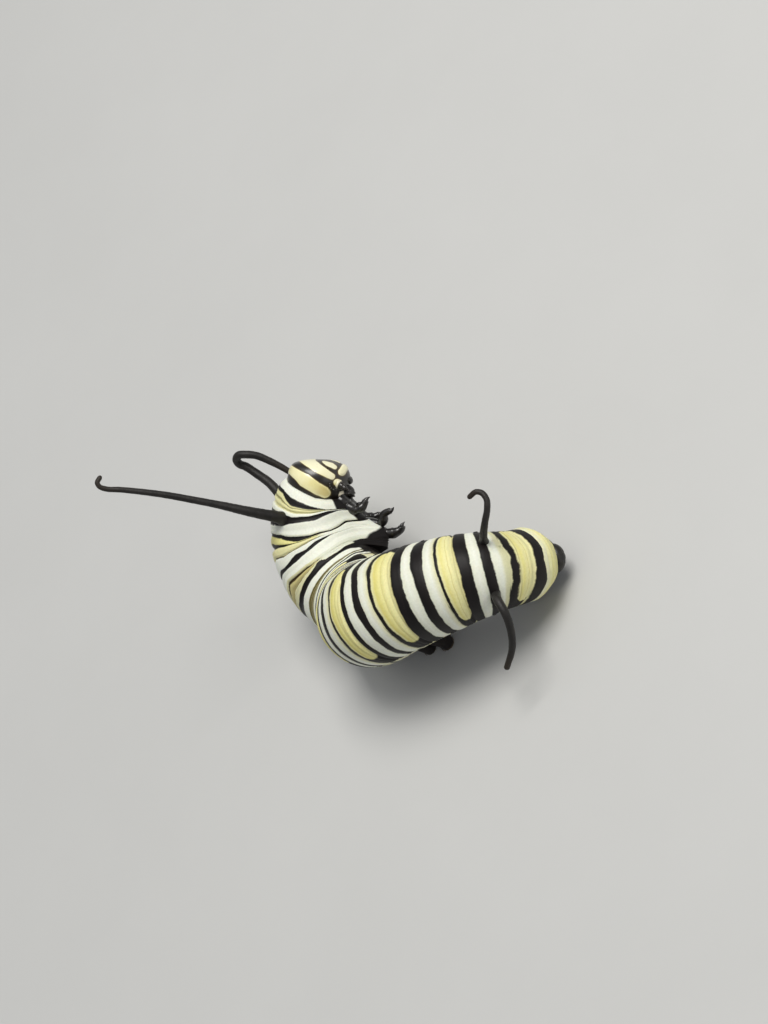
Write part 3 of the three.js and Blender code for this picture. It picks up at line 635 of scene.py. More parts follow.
def stripe(f, c, rear, front, c_low, c_high=9.0):
    """distance to a pale stripe bounded by two lines over c, with a round lower end"""
    lo = np.interp(c, [p[0] for p in rear], [p[1] for p in rear])
    hi = np.interp(c, [p[0] for p in front], [p[1] for p in front])
    mid, half = (lo + hi) / 2, (hi - lo) / 2
    low, high = np.maximum(0, c_low - c), np.maximum(0, c - c_high)
    return np.sqrt((f - mid) ** 2 + low ** 2 + high ** 2) - half


def build_head():
    rows, cols = 150, 200
    q = np.linspace(-1, 1, rows + 1)[:-1]
    q = np.concatenate([q, [0.993]])
    a = (np.arange(cols) + 0.5) / cols * 2 * np.pi - np.pi
    Q, A = np.meshgrid(q, a, indexing="ij")
    f, c, r = head_surface(Q, A)
    deg = np.abs(np.degrees(np.arctan2(r, c)))
    ar = np.abs(r)
    # signed distances (mm) of the pale marks in forward and crown coordinates, the same on both sides
    outer = stripe(f, c, OUTER_REAR, OUTER_FRONT, -0.86)
    inner = stripe(f, c, INNER_REAR, INNER_FRONT, -0.63)
    patch = stripe(f, c, PATCH_REAR, PATCH_FRONT, -0.50, 0.30)
    patch = np.where(ar < 0.45, 1.0, patch)
    clyp = np.hypot(c + 0.975, np.minimum(0, f - 1.12)) - 0.24
    frons = np.maximum(ar - (0.34 - 0.40 * (c + 0.62)), np.maximum(-0.60 - c, 1.25 - f))
    cheek = np.sqrt((f - 0.46) ** 2 + (c + 1.06) ** 2 + (np.maximum(0, 0.8 - ar)) ** 2) - 0.235
    pale = np.minimum.reduce([outer, inner, patch, clyp, frons, cheek])
    # relief: crown furrow, sutures beside the brow plate, raised arches and clypeus, soft unevenness
    furrow = np.where(c > 0.4, bump(r, 0.045), 0)
    sut = bump(frons - 0.16, 0.035) * (f > 0.7) * (c > -0.72)
    clypline = bump(c + 0.68, 0.03) * (ar < 0.9) * (f > 0.7)
    depth = -0.045 * furrow - 0.022 * sut - 0.022 * clypline
    depth += 0.020 * smooth(-np.minimum.reduce([outer, inner, patch]) / 0.10)
    depth += 0.060 * smooth(-clyp / 0.12) + 0.085 * smooth(-cheek / 0.16) + 0.02 * smooth(-frons / 0.1)
    g = np.random.default_rng(11)
    for _ in range(10):
        depth += 0.0022 * np.sin(g.uniform(2, 7) * f + g.integers(1, 6) * A + g.uniform(0, 6))
    # round the rear edge into the neck
    depth -= 0.10 * smooth((-1.08 - f) / 0.14)
    nrm = unit(np.stack([np.where(f < 0, f / 4.0, f / 1.46 ** 2), c / 1.86 ** 2, r / 1.72 ** 2], -1))
    f2, c2, r2 = f + depth * nrm[..., 0], c + depth * nrm[..., 1], r + depth * nrm[..., 2]
    P = head_point(f2, c2, r2).reshape(-1, 3)
    n = rows + 1
    verts = np.concatenate([P, head_point(-1.22, 0, 0).reshape(1, 3), head_point(1.46 * 0.945, 0, 0).reshape(1, 3)])
    cat = lambda x, s, e: np.concatenate([x.ravel(), [s, e]])
    return make_object("head_shell", verts, [tuple(reversed(x)) for x in ring_faces(n, cols)], True, {
        "PALE": cat(pale, 1.0, float(pale[-1].mean())), "HFD": cat(f, -1.22, 1.46), "HAN": cat(deg / 180, 0, 0), "OUT": cat(outer, 1, 1)})


head = build_head()

# ---------------------------------------------------------------- mouth parts, eyes
def blob(mesh, centre, ax, ay, az, hx, hy, hz, rows=20, cols=26, power=1.0, shape=None, **attrs):
    """rounded body on three axes; shape(x, y, z) returns a factor on the surface"""
    th = (np.arange(rows) + 0.5) / rows * np.pi
    ph = np.arange(cols) / cols * 2 * np.pi
    T, H = np.meshgrid(th, ph, indexing="ij")
    x, y, z = np.cos(T), np.sin(T) * np.cos(H), np.sin(T) * np.sin(H)
    if shape is not None:
        k = shape(x, y, z)
        x, y, z = x * k, y * k, z * k
    P = centre + (x * hx)[..., None] * ax + (y * hy)[..., None] * ay + (z * hz)[..., None] * az
    kx = shape(np.array(1.0), np.array(0.0), np.array(0.0)) if shape else 1.0
    km = shape(np.array(-1.0), np.array(0.0), np.array(0.0)) if shape else 1.0
    verts = np.concatenate([P.reshape(-1, 3), (centre + ax * hx * kx)[None], (centre - ax * hx * km)[None]])
    mesh.add(verts, ring_faces(rows, cols), **attrs)


def build_mandible(side):
    m = Mesh()
    centre = head_point(0.30, -1.84, 0.42 * side).reshape(3)

    def shape(x, y, z):
        # y is the crown direction: the lower edge is drawn to a biting edge with five teeth
        tooth = 0.07 * np.cos(x * 13) * smooth((-y - 0.55) / 0.4)
        return 1 + tooth - 0.06 * np.abs(np.sin(3 * x)) * smooth((-y - 0.2) / 0.5)

    blob(m, centre, HF, HC, HR, 0.42, 0.50, 0.34, rows=40, cols=44, shape=shape, TIP=0.0)
    return m.build("mandible_right_piece" if side > 0 else "mandible_left_piece")


def build_labrum():
    m = Mesh()

    def shape(x, y, z):
        notch = 0.22 * bump(z, 0.22) * smooth((-y - 0.3) / 0.5)
        return 1 - notch

    blob(m, head_point(0.92, -1.52, 0).reshape(3), HF, HC, HR, 0.27, 0.32, 0.54, rows=30, cols=40, shape=shape, TIP=0.0)
    return m.build("labrum_piece")


def build_antenna(side):
    m = Mesh()
    a, b = head_point(0.43, -1.10, 1.12 * side).reshape(3), head_point(0.43, -1.66, 1.32 * side).reshape(3)
    d = unit(b - a)
    length = np.linalg.norm(b - a)
    s = np.linspace(-0.10, length + 0.16, 34)
    rad = np.interp(s / length, [-0.2, 0.0, 0.18, 0.30, 0.33, 0.60, 0.66, 0.69, 0.95, 1.02, 1.06, 1.2, 1.28],
                    [0.20, 0.26, 0.27, 0.24, 0.19, 0.20, 0.19, 0.15, 0.15, 0.13, 0.09, 0.07, 0.01])
    centres = a + s[:, None] * d
    tube_mesh(m, centres, np.repeat(d[None], len(s), 0), rad, cols=20, TIP=np.clip(s / length, 0, 1))
    # bristle at the tip
    p = centres[-2]
    ss = np.linspace(0, 0.30, 8)
    cc = p + ss[:, None] * d + (ss ** 2)[:, None] * 0.6 * HF
    tube_mesh(m, cc, unit(np.gradient(cc, axis=0)), np.interp(ss, [0, 0.3], [0.018, 0.005]), cols=6, TIP=np.ones(8))
    return m.build("antenna_right_piece" if side > 0 else "antenna_left_piece")


def build_lower_mouth():
    """maxillae and labium with palps and spinneret, behind the jaws"""
    m = Mesh()
    for side in (1, -1):
        base = head_point(0.0, -1.56, 0.70 * side).reshape(3)
        blob(m, base, HF, HC, HR, 0.24, 0.26, 0.26, rows=16, cols=20, TIP=0.15)
        s = np.linspace(0, 0.62, 22)
        d = unit(-HC * 0.9 + HF * 0.45 + HR * 0.12 * side)
        cc = base + s[:, None] * d + (s ** 2)[:, None] * HF * 0.25
        rad = np.interp(s / 0.62, [0, .25, .3, .55, .6, .85, 1.0], [.17, .165, .13, .125, .095, .085, .02])
        tube_mesh(m, cc, unit(np.gradient(cc, axis=0)), rad, cols=16, TIP=np.clip(s / 0.4, 0, 1))
    base = head_point(-0.30, -1.66, 0).reshape(3)
    blob(m, base, HF, HC, HR, 0.22, 0.26, 0.32, rows=16, cols=20, TIP=0.3)
    s = np.linspace(0, 0.42, 16)
    d = unit(-HC + HF * 0.55)
    cc = base + s[:, None] * d
    tube_mesh(m, cc, np.repeat(d[None], 16, 0), np.interp(s, [0, .2, .42], [.10, .06, .018]), cols=12, TIP=np.ones(16))
    return m.build("mouth_palps")


def build_eyes():
    """six simple eyes on each cheek: clear domes in an arc"""
    m = Mesh()
    for side in (1, -1):
        for f, c in ((0.17, -0.74), (0.06, -0.82), (-0.01, -0.95), (0.0, -1.10), (0.11, -1.22), (0.19, -1.36)):
            r = head_at(f, c) * side
            n = unit(np.array([f / 1.46 ** 2, c / 1.86 ** 2, r / 1.72 ** 2]))
            nn = n[0] * HF + n[1] * HC + n[2] * HR
            e1 = unit(np.cross(nn, HF))
            e2 = np.cross(nn, e1)
            p = head_point(f, c, r).reshape(3)
            blob(m, p, nn, e1, e2, 0.052, 0.064, 0.064, rows=12, cols=18, TIP=0.0)
    return m.build("eyes")


mandible_r, mandible_l = build_mandible(1), build_mandible(-1)
labrum = build_labrum()
antenna_r, antenna_l = build_antenna(1), build_antenna(-1)
palps = build_lower_mouth()
eyes = build_eyes()

# ---------------------------------------------------------------- legs of the thorax
LEGS = {
    "leg_T1_right": [[-3.86, 2.34, 4.88], [-3.19, 1.69, 4.31], [-2.76, 1.79, 4.18], [-2.33, 2.21, 4.25]],
    "leg_T2_right": [[-4.31, 1.71, 3.55], [-3.18, 1.33, 2.93], [-2.46, 1.27, 2.73], [-2.05, 1.58, 3.00], [-1.37, 1.67, 2.94]],
    "leg_T3_right": [[-3.86, 0.96, 3.05], [-2.8, 0.78, 2.49], [-2.1, 0.68, 2.14], [-1.62, 0.84, 2.0], [-1.41, 1.11, 2.16]],
    "leg_T1_left": [[-5.04, 3.29, 4.01], [-4.49, 2.97, 3.19], [-4.15, 2.82, 2.96], [-3.81, 2.93, 2.9]],
    "leg_T2_left": [[-5.08, 2.69, 2.9], [-4.46, 2.58, 2.16], [-3.87, 2.49, 1.76], [-3.38, 2.65, 1.61]],
    "leg_T3_left": [[-5.6, 0.35, 1.6], [-5.42, 0.6, 0.9], [-5.3, 0.78, 0.0]],
}


def build_leg(name, pts):
    m = Mesh()
    curve = Curve(pts)
    L = curve.length
    standing = name == "leg_T3_left"
    s = np.linspace(0, L * (0.985 if standing else 0.93), 64)
    x = s / L
    rad = np.interp(x, [0, .10, .22, .27, .32, .46, .52, .57, .70, .75, .80, .92, 1.0],
                    [.50, .50, .45, .36, .40, .385, .33, .27, .31, .27, .235, .20, .13])
    if standing:
        rad = np.interp(x, [0, .2, .32, .38, .55, .62, .7, .9, 1.0], [.48, .46, .36, .40, .36, .29, .31, .24, .20])
    centres = curve.at(s)
    tang = unit(np.gradient(centres, axis=0))
    if name == "leg_T3_right":
        rad = rad * 1.14
    tube_mesh(m, centres, tang, rad, cols=26, hint=(0.3, 0.1, 1), squash=0.94,
              modulate=lambda j, ang: 1 + 0.035 * np.cos(2 * ang) + 0.01 * np.sin(5 * ang + j * 0.3), TIP=x)
    # claw: a hooked point on the inner side
    p, d = centres[-1], tang[-1]
    bend = unit(curve.at(L) - curve.at(L * 0.55) - d * ((curve.at(L) - curve.at(L * 0.55)) @ d) + 1e-6)
    if standing:
        bend, reach = unit(np.array([0.6, 0.7, 0.0])), 0.20
        cc = p + np.linspace(0, 1, 12)[:, None] * (np.array([0.30, 0.34, 0]) * 0.5) - np.array([0, 0, 1.0]) * 0
        cc[:, 2] = np.linspace(max(p[2], 0.120), 0.03, 12)
        tube_mesh(m, cc, unit(np.gradient(cc, axis=0)), np.interp(np.linspace(0, 1, 12), [0, .5, 1], [.11, .07, .02]), cols=12, TIP=np.ones(12))
    else:
        k = np.linspace(0, 1, 14)
        cc = p + (k * 0.30)[:, None] * d + (k ** 2 * 0.16)[:, None] * bend
        tube_mesh(m, cc, unit(np.gradient(cc, axis=0)), np.interp(k, [0, .3, .7, 1], [.15, .12, .06, .012]), cols=12, TIP=np.ones(14))
    # the standing foot is flat where it meets the floor
    for verts in m.v:
        verts[:, 2] = np.maximum(verts[:, 2], 0.0)
    return m.build(name + "_piece")


legs = {name: build_leg(name, pts) for name, pts in LEGS.items()}

# ---------------------------------------------------------------- feelers (tentacles)
FEELERS = {
    "tentacle_front_right": ([[-6.45, 1.37, 6.5], [-6.43, 1.15, 7.58], [-6.8, 1.12, 8.38], [-7.35, 1.18, 9.24], [-8.08, 1.34, 10.17],
                              [-8.98, 1.5, 11.32], [-10.1, 1.69, 12.67], [-11.24, 1.8, 13.98], [-12.03, 1.85, 14.82], [-12.57, 1.86, 15.33],
                              [-12.82, 1.96, 15.69], [-12.85, 2.16, 15.86], [-12.7, 2.4, 15.85]], [0.37, 0.30, 0.22, 0.20, 0.175, 0.15], 0.9, 0.125, 0.0),
    "tentacle_front_left": ([[-7.46, 3.02, 5.38], [-8.13, 3.97, 5.27], [-8.71, 4.89, 5.64], [-9.37, 5.57, 6.07], [-9.84, 6.03, 6.59],
                             [-10.03, 6.12, 6.9], [-9.92, 6.24, 7.32], [-9.5, 6.29, 7.52], [-9.15, 6.25, 7.4], [-8.63, 6.17, 7.01],
                             [-8.12, 5.89, 6.42], [-7.60, 5.51, 5.73], [-7.28, 5.20, 5.28]], [0.36, 0.29, 0.26, 0.245, 0.22, 0.19], 0.6, 0.08, 0.0),
    "tentacle_rear_right": ([[7.47, -4.72, 5.93], [8.22, -4.69, 6.94], [8.98, -4.48, 7.78], [9.44, -4.0, 8.17], [9.58, -3.52, 8.39],
                             [9.44, -3.16, 8.6], [9.11, -3.02, 8.75], [8.74, -3.14, 8.75]], [0.25, 0.19, 0.155], 0.5, 0.0, 0.13),
    "tentacle_rear_left": ([[7.27, -7.0, 4.84], [7.86, -8.01, 5.27], [8.11, -8.63, 5.08], [8.07, -9.16, 4.61], [7.81, -9.71, 4.01],
                            [7.38, -10.16, 3.47], [6.62, -10.77, 2.94]], [0.27, 0.225, 0.18], 0.5, 0.0, 0.0),
}


def build_feeler(name, pts, radii, flare, drop, drop_end):
    m = Mesh()
    # slim inside the thicker solid: the line keeps to its lower side by drop at the root, drop_end at the tip
    pts = np.array(pts, float)
    share = np.linspace(0, 1, len(pts))[:, None]
    pts = pts - CAM_R[:, 1] * ((drop + (drop_end - drop) * share) if drop_end else drop)
    curve = Curve(pts)
    L = curve.length
    s = np.linspace(0, L, int(L / 0.045))
    s = np.concatenate([s, L + np.array([0.05, 0.10, 0.14, 0.17])])
    x = np.clip(s / L, 0, 1)
    rad = np.interp(x * (len(radii) - 1), np.arange(len(radii)), radii)
    rad = rad * (1 + 0.55 * np.exp(-(s / (0.45 * flare + 0.2)) ** 2))
    rad *= 1 - 0.05 * smooth((x - 0.8) / 0.2)
    over = np.clip((s - L) / 0.18, 0, 1)
    rad = np.where(s > L, rad * np.sqrt(np.maximum(0.02, 1 - over ** 2)), rad)
    g = np.random.default_rng(len(name))
    rad *= 1 + 0.012 * np.sin(s * 9.0 + g.uniform(0, 6)) + 0.008 * np.sin(s * 23.0)
    end = curve.at(L)
    tan_end = unit(curve.at(L) - curve.at(L - 0.08))
    centres = np.where((s > L)[:, None], end + (s - L)[:, None] * tan_end, curve.at(s))
    tang = unit(np.gradient(centres, axis=0))
    ph = g.uniform(0, 6.28, 4)
    tube_mesh(m, centres, tang, rad, cols=28, modulate=lambda j, ang: 1 + 0.012 * np.sin(3 * ang + s[j] * 1.3 + ph[0]) + 0.008 * np.sin(5 * ang - s[j] * 2.1 + ph[1]),
              TIP=x)
    return m.build(name)


feelers = {name: build_feeler(name, *spec) for name, spec in FEELERS.items()}

# ---------------------------------------------------------------- plate over the tail
def build_plate():
    m = Mesh()
    c0, d0, t0, r0 = radial(12.7, 0)
    side = radial(12.7, 90)[1]
    centre = c0 + d0 * r0 * 0.72

    def shape(x, y, z):
        # x is outward, y along the body, z sideways: a shield with a scalloped rear rim and a few pits
        rim = 0.035 * np.cos(z * 9) * smooth((y - 0.35) / 0.5)
        pit = sum(0.05 * np.exp(-((y - py) ** 2 + (z - pz) ** 2) / 0.012) for py, pz in ((0.1, 0.35), (0.1, -0.35), (0.45, 0.18), (0.45, -0.18), (-0.3, 0.2), (-0.3, -0.2)))
        return 1 + rim - pit

    blob(m, centre, d0, t0, side, 0.80, 0.56, 0.86, rows=60, cols=72, shape=shape, TIP=0.0)
    return m.build("anal_plate_piece")


plate = build_plate()

# ---------------------------------------------------------------- spiracles and foot hooks
def build_spiracles():
    m = Mesh()
    for u0 in [0.93] + [i + 0.45 for i in range(3, 11)]:
        for side in (1, -1):
            if side < 0 and u0 < 7:
                continue  # shut inside the folds on the inner side of the bend and under the collar
            ang = (104 if u0 < 1 else 84) * side
            c0, d0, t0, r0 = radial(u0, ang)
            ph = np.radians(np.full((1, 1), float(ang)))
            uu = np.full((1, 1), u0)
            prof = float(segment_profile(uu, ph, band_coordinate(uu, ph))[0, 0])
            p = c0 + d0 * (r0 * prof - 0.012) + lowering(np.array(u0), d0)
            up = np.cross(t0, d0)
            th = np.linspace(0, 2 * np.pi, 29)[:-1]
            h = 0.10 if u0 < 1 else 0.15 if u0 < 9.5 else 0.19
            w = h * 0.55
            rings = [(1.25, -0.03), (1.22, 0.012), (1.08, 0.032), (0.90, 0.026), (0.70, -0.004), (0.35, -0.018), (0.05, -0.020)]
            pts = np.concatenate([p + (np.cos(th) * h * k)[:, None] * up + (np.sin(th) * w * k)[:, None] * t0 + d0 * dz for k, dz in rings])
            n = len(th)
            faces = [(j * n + i, j * n + (i + 1) % n, (j + 1) * n + (i + 1) % n, (j + 1) * n + i) for j in range(len(rings) - 1) for i in range(n)]
            faces.append(tuple((len(rings) - 1) * n + i for i in range(n)))
            back = [(i, (i + 1) % n) for i in range(n)]
            faces.append(tuple(reversed(range(n))))
            m.add(pts, faces, TIP=np.repeat([1, 1, .8, .6, .2, 0, 0], n))
    return m.build("spiracles")


spiracles = build_spiracles()


def build_crochets():
    """small brown hooks round the inner half of each fleshy foot"""
    m = Mesh()
    for name, u0, off, reach, z, r_base, r_foot in PROLEGS:
        c0, dr, t0, r0 = radial(u0, 180 + off)
        edge = c0 + dr * r0
        outv = np.array([dr[0], dr[1], 0])
        foot = edge + dr * z + np.array([0, 0, -0.15]) if z > 0 else edge + outv * reach
        along = dr if z > 0 else np.array([0, 0, -1.0])
        if z == 0:
            foot = np.array([foot[0], foot[1], 0.0])
        inner = unit(-outv - along * (-outv @ along) + 1e-9)
        other = np.cross(along, inner)
        for i in range(22):
            a = math.radians(-95 + 190 * i / 21)
            d = math.cos(a) * inner + math.sin(a) * other
            k = np.linspace(0, 1, 7)
            lift = 0.0 if z > 0 else 0.045
            base = foot + d * r_foot * 0.90 - along * (0.10 + (i % 2) * 0.02)
            cc = base + (np.sin(k * 2.2) * 0.085)[:, None] * d + ((1 - np.cos(k * 2.2)) * 0.055 - 0.0)[:, None] * along
            if z == 0:
                cc[:, 2] = np.maximum(cc[:, 2], 0.018)
            tube_mesh(m, cc, unit(np.gradient(cc, axis=0)), np.interp(k, [0, .6, 1], [.016, .012, .003]), cols=5, TIP=k)
    return m.build("foot_hooks")


hooks = build_crochets()


# ---------------------------------------------------------------- materials
def lin(r, g, b):
    def one(x):
        x /= 255.0
        return x / 12.92 if x <= 0.04045 else ((x + 0.055) / 1.055) ** 2.4
    return (one(r), one(g), one(b), 1.0)


class Nodes:
    """short hand for shader nodes"""

    def __init__(self, name):
        self.mat = bpy.data.materials.new(name)
        self.mat.use_nodes = True
        self.t = self.mat.node_tree
        self.t.nodes.clear()
        self.out = self.t.nodes.new("ShaderNodeOutputMaterial")
        self.bsdf = self.t.nodes.new("ShaderNodeBsdfPrincipled")
        self.t.links.new(self.bsdf.outputs[0], self.out.inputs[0])
        tc = self.t.nodes.new("ShaderNodeTexCoord")
        self.obj = tc.outputs["Object"]

    def link(self, a, b):
        self.t.links.new(a, b)

    def attr(self, name):
        n = self.t.nodes.new("ShaderNodeAttribute")
        n.attribute_name = name
        return n.outputs["Fac"]

    def math(self, op, a, b=None, c=None, clamp=False):
        n = self.t.nodes.new("ShaderNodeMath")
        n.operation = op
        n.use_clamp = clamp
        for i, x in enumerate((a, b, c)):
            if x is None:
                continue
            if isinstance(x, (int, float)):
                n.inputs[i].default_value = x
            else:
                self.link(x, n.inputs[i])
        return n.outputs[0]

    def step(self, x, lo, hi, a=0.0, b=1.0):
        n = self.t.nodes.new("ShaderNodeMapRange")
        n.interpolation_type = "SMOOTHSTEP"
        for k, v in (("From Min", lo), ("From Max", hi), ("To Min", a), ("To Max", b)):
            if isinstance(v, (int, float)):
                n.inputs[k].default_value = v
            else:
                self.link(v, n.inputs[k])
        self.link(x, n.inputs["Value"])
        return n.outputs["Result"]

    def noise(self, scale, detail=3.0, rough=0.5, vec=None, dist=0.0):
        n = self.t.nodes.new("ShaderNodeTexNoise")
        n.inputs["Scale"].default_value = scale
        n.inputs["Detail"].default_value = detail
        n.inputs["Roughness"].default_value = rough
        n.inputs["Distortion"].default_value = dist
        self.link(vec or self.obj, n.inputs["Vector"])
        return n.outputs["Fac"]

    def voronoi(self, scale, vec=None, feature="F1"):
        n = self.t.nodes.new("ShaderNodeTexVoronoi")
        n.feature = feature
        n.inputs["Scale"].default_value = scale
        self.link(vec or self.obj, n.inputs["Vector"])
        return n.outputs["Distance"]

    def ramp(self, x, stops, mode="LINEAR"):
        n = self.t.nodes.new("ShaderNodeValToRGB")
        n.color_ramp.interpolation = mode
        e = n.color_ramp.elements
        while len(e) > 1:
            e.remove(e[-1])
        e[0].position, e[0].color = stops[0][0], stops[0][1]
        for pos, col in stops[1:]:
            k = e.new(pos)
            k.color = col
        self.link(x, n.inputs[0])
        return n.outputs[0]

    def mix(self, fac, a, b, mode="MIX"):
        n = self.t.nodes.new("ShaderNodeMix")
        n.data_type = "RGBA"
        n.blend_type = mode
        n.clamp_factor = True
        for s, v in ((n.inputs[0], fac), (n.inputs[6], a), (n.inputs[7], b)):
            if isinstance(v, (int, float)):
                s.default_value = v
            elif isinstance(v, tuple):
                s.default_value = v
            else:
                self.link(v, s)
        return n.outputs[2]

    def bump(self, height, strength, distance, normal=None):
        n = self.t.nodes.new("ShaderNodeBump")
        n.inputs["Strength"].default_value = strength
        n.inputs["Distance"].default_value = distance
        self.link(height, n.inputs["Height"])
        if normal is not None:
            self.link(normal, n.inputs["Normal"])
        return n.outputs[0]

    def set(self, name, value):
        s = self.bsdf.inputs[name]
        if isinstance(value, (int, float)):
            s.default_value = value
        elif isinstance(value, tuple):
            s.default_value = value
        else:
            self.link(value, s)


WHITE = lin(232, 234, 214)
WHITE2 = lin(240, 242, 228)
CREAM = lin(224, 221, 178)
GREYW = lin(206, 203, 188)
YEL = lin(235, 228, 152)
YEL_DEEP = lin(227, 216, 124)
YEL_PALE = lin(237, 232, 176)
YEL_DIM = lin(216, 207, 146)
BLK = lin(18, 14, 13)
BLK2 = lin(27, 22, 21)
BROWN = lin(66, 50, 20)
OLIVE = lin(112, 104, 56)


def bands(edges, soft=0.007):
    """(start, colour) list to ramp stops with narrow soft edges"""
    stops = [(0.0, edges[0][1])]
    for (p, col), (_, before) in zip(edges[1:], edges[:-1]):
        stops.append((max(p - soft, 0.0), before))
        stops.append((min(p + soft, 1.0), col))
    return stops


def skin_material():
    n = Nodes("skin_banded")
    V, U, AP, SN, LEG = (n.attr(k) for k in ("V", "U", "AP", "SN", "LEG"))
    deg = n.math("MULTIPLY", AP, 180.0)
    nz = n.noise(1500.0, 3.0, 0.55)
    nz2 = n.noise(5200.0, 2.0, 0.5)
    jit = n.math("ADD", n.math("MULTIPLY", n.math("SUBTRACT", nz, 0.5), 0.040), n.math("MULTIPLY", n.math("SUBTRACT", nz2, 0.5), 0.014))
    W = n.math("ADD", V, jit)
    s = n.math("FRACT", W)
    # common abdominal pattern; the darker yellow stop at 0.912 is a painted shade line along the crease in each yellow
    # band
    yellow = [(0.79, YEL_PALE), (0.835, YEL), (0.885, YEL_DEEP), (0.925, YEL), (0.96, YEL_PALE)]
    stops = [(0.0, YEL_PALE), (0.022, YEL_DIM), (0.036, BLK), (0.183, BLK2), (0.197, WHITE), (0.28, WHITE2), (0.363, WHITE), (0.377, BLK), (0.523, BLK2),
             (0.537, WHITE), (0.63, WHITE2), (0.723, CREAM), (0.735, BLK), (0.783, BLK2), (0.797, YEL_PALE), (0.84, YEL_DEEP), (0.89, YEL),
             (0.903, YEL), (0.912, lin(221, 211, 140)), (0.921, YEL), (1.0, YEL_PALE)]
    # the yellow is paler towards the tail
    paler = {YEL: lin(240, 234, 172), YEL_DEEP: lin(235, 227, 148), YEL_DIM: lin(226, 219, 160)}
    abd = n.mix(n.step(U, 8.4, 10.2), n.ramp(s, stops), n.ramp(s, [(k, paler.get(c, c)) for k, c in stops]))
    t1 = n.ramp(W, bands([(0, WHITE2), (0.70, BLK), (0.84, YEL_PALE), (0.905, OLIVE), (0.925, YEL_PALE), (0.985, YEL_DIM)], 0.010))
    s2 = n.math("SUBTRACT", W, 1.0)
    t2 = n.ramp(s2, bands([(0, CREAM), (0.02, WHITE2), (0.14, BLK), (0.28, WHITE2), (0.60, WHITE), (0.66, BLK), (0.74, YEL), (0.86, BLK), (0.92, YEL_PALE)], 0.008))
    s3 = n.math("SUBTRACT", W, 2.0)
    t3 = n.ramp(s3, bands([(0, YEL_PALE), (0.095, BROWN), (0.125, WHITE2), (0.36, BLK), (0.51, WHITE2), (0.80, CREAM), (0.88, BROWN), (0.95, lin(208, 197, 136))], 0.008))
    s4 = n.math("SUBTRACT", W, 3.0)
    # the olive and brown stops from about V 3.70 to 4.13 are painted shade in the deep fold between A1 and A2
    a1 = n.ramp(s4, bands([(0, lin(194, 183, 128)), (0.045, BROWN), (0.07, CREAM), (0.35, BLK), (0.51, WHITE2), (0.70, OLIVE), (0.76, lin(168, 160, 116)), (0.86, lin(104, 94, 54)), (0.96, lin(160, 153, 112))], 0.010))
    s5 = n.math("SUBTRACT", W, 4.0)
    a2 = n.ramp(s5, bands([(0, lin(150, 142, 100)), (0.05, lin(78, 68, 38)), (0.13, WHITE), (0.36, BLK), (0.52, WHITE2), (0.66, BLK), (0.74, YEL_PALE)], 0.008))
    s11 = n.math("SUBTRACT", W, 11.0)
    tail = n.ramp(s11, bands([(0, YEL_PALE), (0.03, BLK), (0.19, lin(242, 240, 202)), (0.55, lin(242, 238, 184)), (0.80, lin(240, 234, 168))], 0.007))
    col = abd
    for place, layer in ((5.0, a2), (4.0, a1), (3.0, t3), (2.0, t2), (1.0, t1)):
        fac = n.math("LESS_THAN", W, place)
        col = n.mix(fac, col, layer)
    col = n.mix(n.math("GREATER_THAN", W, 11.0), col, tail)
    col = n.mix(n.step(U, 12.55, 12.66), col, BLK)
    # sides: the yellow stops at about 57 degrees and gives way to black, then a pale wavy line low on the side
    nz3 = n.noise(700.0, 2.0, 0.5)
    dd = n.math("ADD", deg, n.math("MULTIPLY", n.math("SUBTRACT", nz3, 0.5), 12.0))
    abdomen = n.math("MULTIPLY", n.math("GREATER_THAN", W, 4.72), n.math("LESS_THAN", W, 11.0))
    across = n.math("DIVIDE", n.math("ABSOLUTE", n.math("SUBTRACT", n.math("FRACT", n.math("SUBTRACT", s, 0.41)), 0.5)), 0.12)
    ends = n.math("ADD", dd, n.math("MULTIPLY", n.math("POWER", across, 3.0), 8.0))
    in_y = n.math("ADD", n.step(s, 0.70, 0.735), n.math("SUBTRACT", 1.0, n.step(s, 0.18, 0.205)), clamp=True)
    wide = n.math("MULTIPLY", n.math("MULTIPLY", n.math("LESS_THAN", SN, 0.0), n.step(U, 8.4, 9.6)), 17.0)
    low = n.math("MULTIPLY", n.step(n.math("SUBTRACT", ends, wide), 61.0, 64.0), n.math("SUBTRACT", 1.0, n.step(dd, 88.5, 90.5)))
    col = n.mix(n.math("MULTIPLY", n.math("MULTIPLY", low, in_y), abdomen), col, BLK)
    # under the pale side line the bands break up into dark mottle
    pale_line = n.math("MULTIPLY", n.step(dd, 88.5, 90.5), n.math("SUBTRACT", 1.0, n.step(dd, 105.0, 107.0)))
    pale_line = n.math("MULTIPLY", pale_line, n.math("SUBTRACT", 1.0, n.math("MULTIPLY", n.step(s, 0.355, 0.38), n.math("SUBTRACT", 1.0, n.step(s, 0.52, 0.545)))))
    col = n.mix(n.math("MULTIPLY", pale_line, n.math("MULTIPLY", abdomen, 0.92)), col, n.mix(n.step(nz3, 0.42, 0.60), lin(226, 224, 196), lin(226, 221, 172)))
    belly = n.mix(n.step(n.noise(1500.0, 4.0, 0.62), 0.44, 0.66), lin(36, 31, 27), lin(104, 100, 76))
    bfac = n.math("MULTIPLY", n.step(dd, 105.0, 108.0), n.math("GREATER_THAN", W, 3.5))
    col = n.mix(bfac, col, belly)
    tfac = n.math("MULTIPLY", n.step(dd, 150.0, 158.0), n.math("LESS_THAN", W, 3.5))
    col = n.mix(tfac, col, belly)
    side = n.math("MULTIPLY", n.step(dd, 72.0, 90.0), n.math("MULTIPLY", n.math("GREATER_THAN", W, 1.745), n.math("LESS_THAN", W, 2.355)))
    col = n.mix(side, col, WHITE2)
    side = n.math("MULTIPLY", n.step(dd, 86.0, 98.0), n.math("MULTIPLY", n.math("GREATER_THAN", W, 2.35), n.math("LESS_THAN", W, 2.80)))
    col = n.mix(side, col, WHITE2)
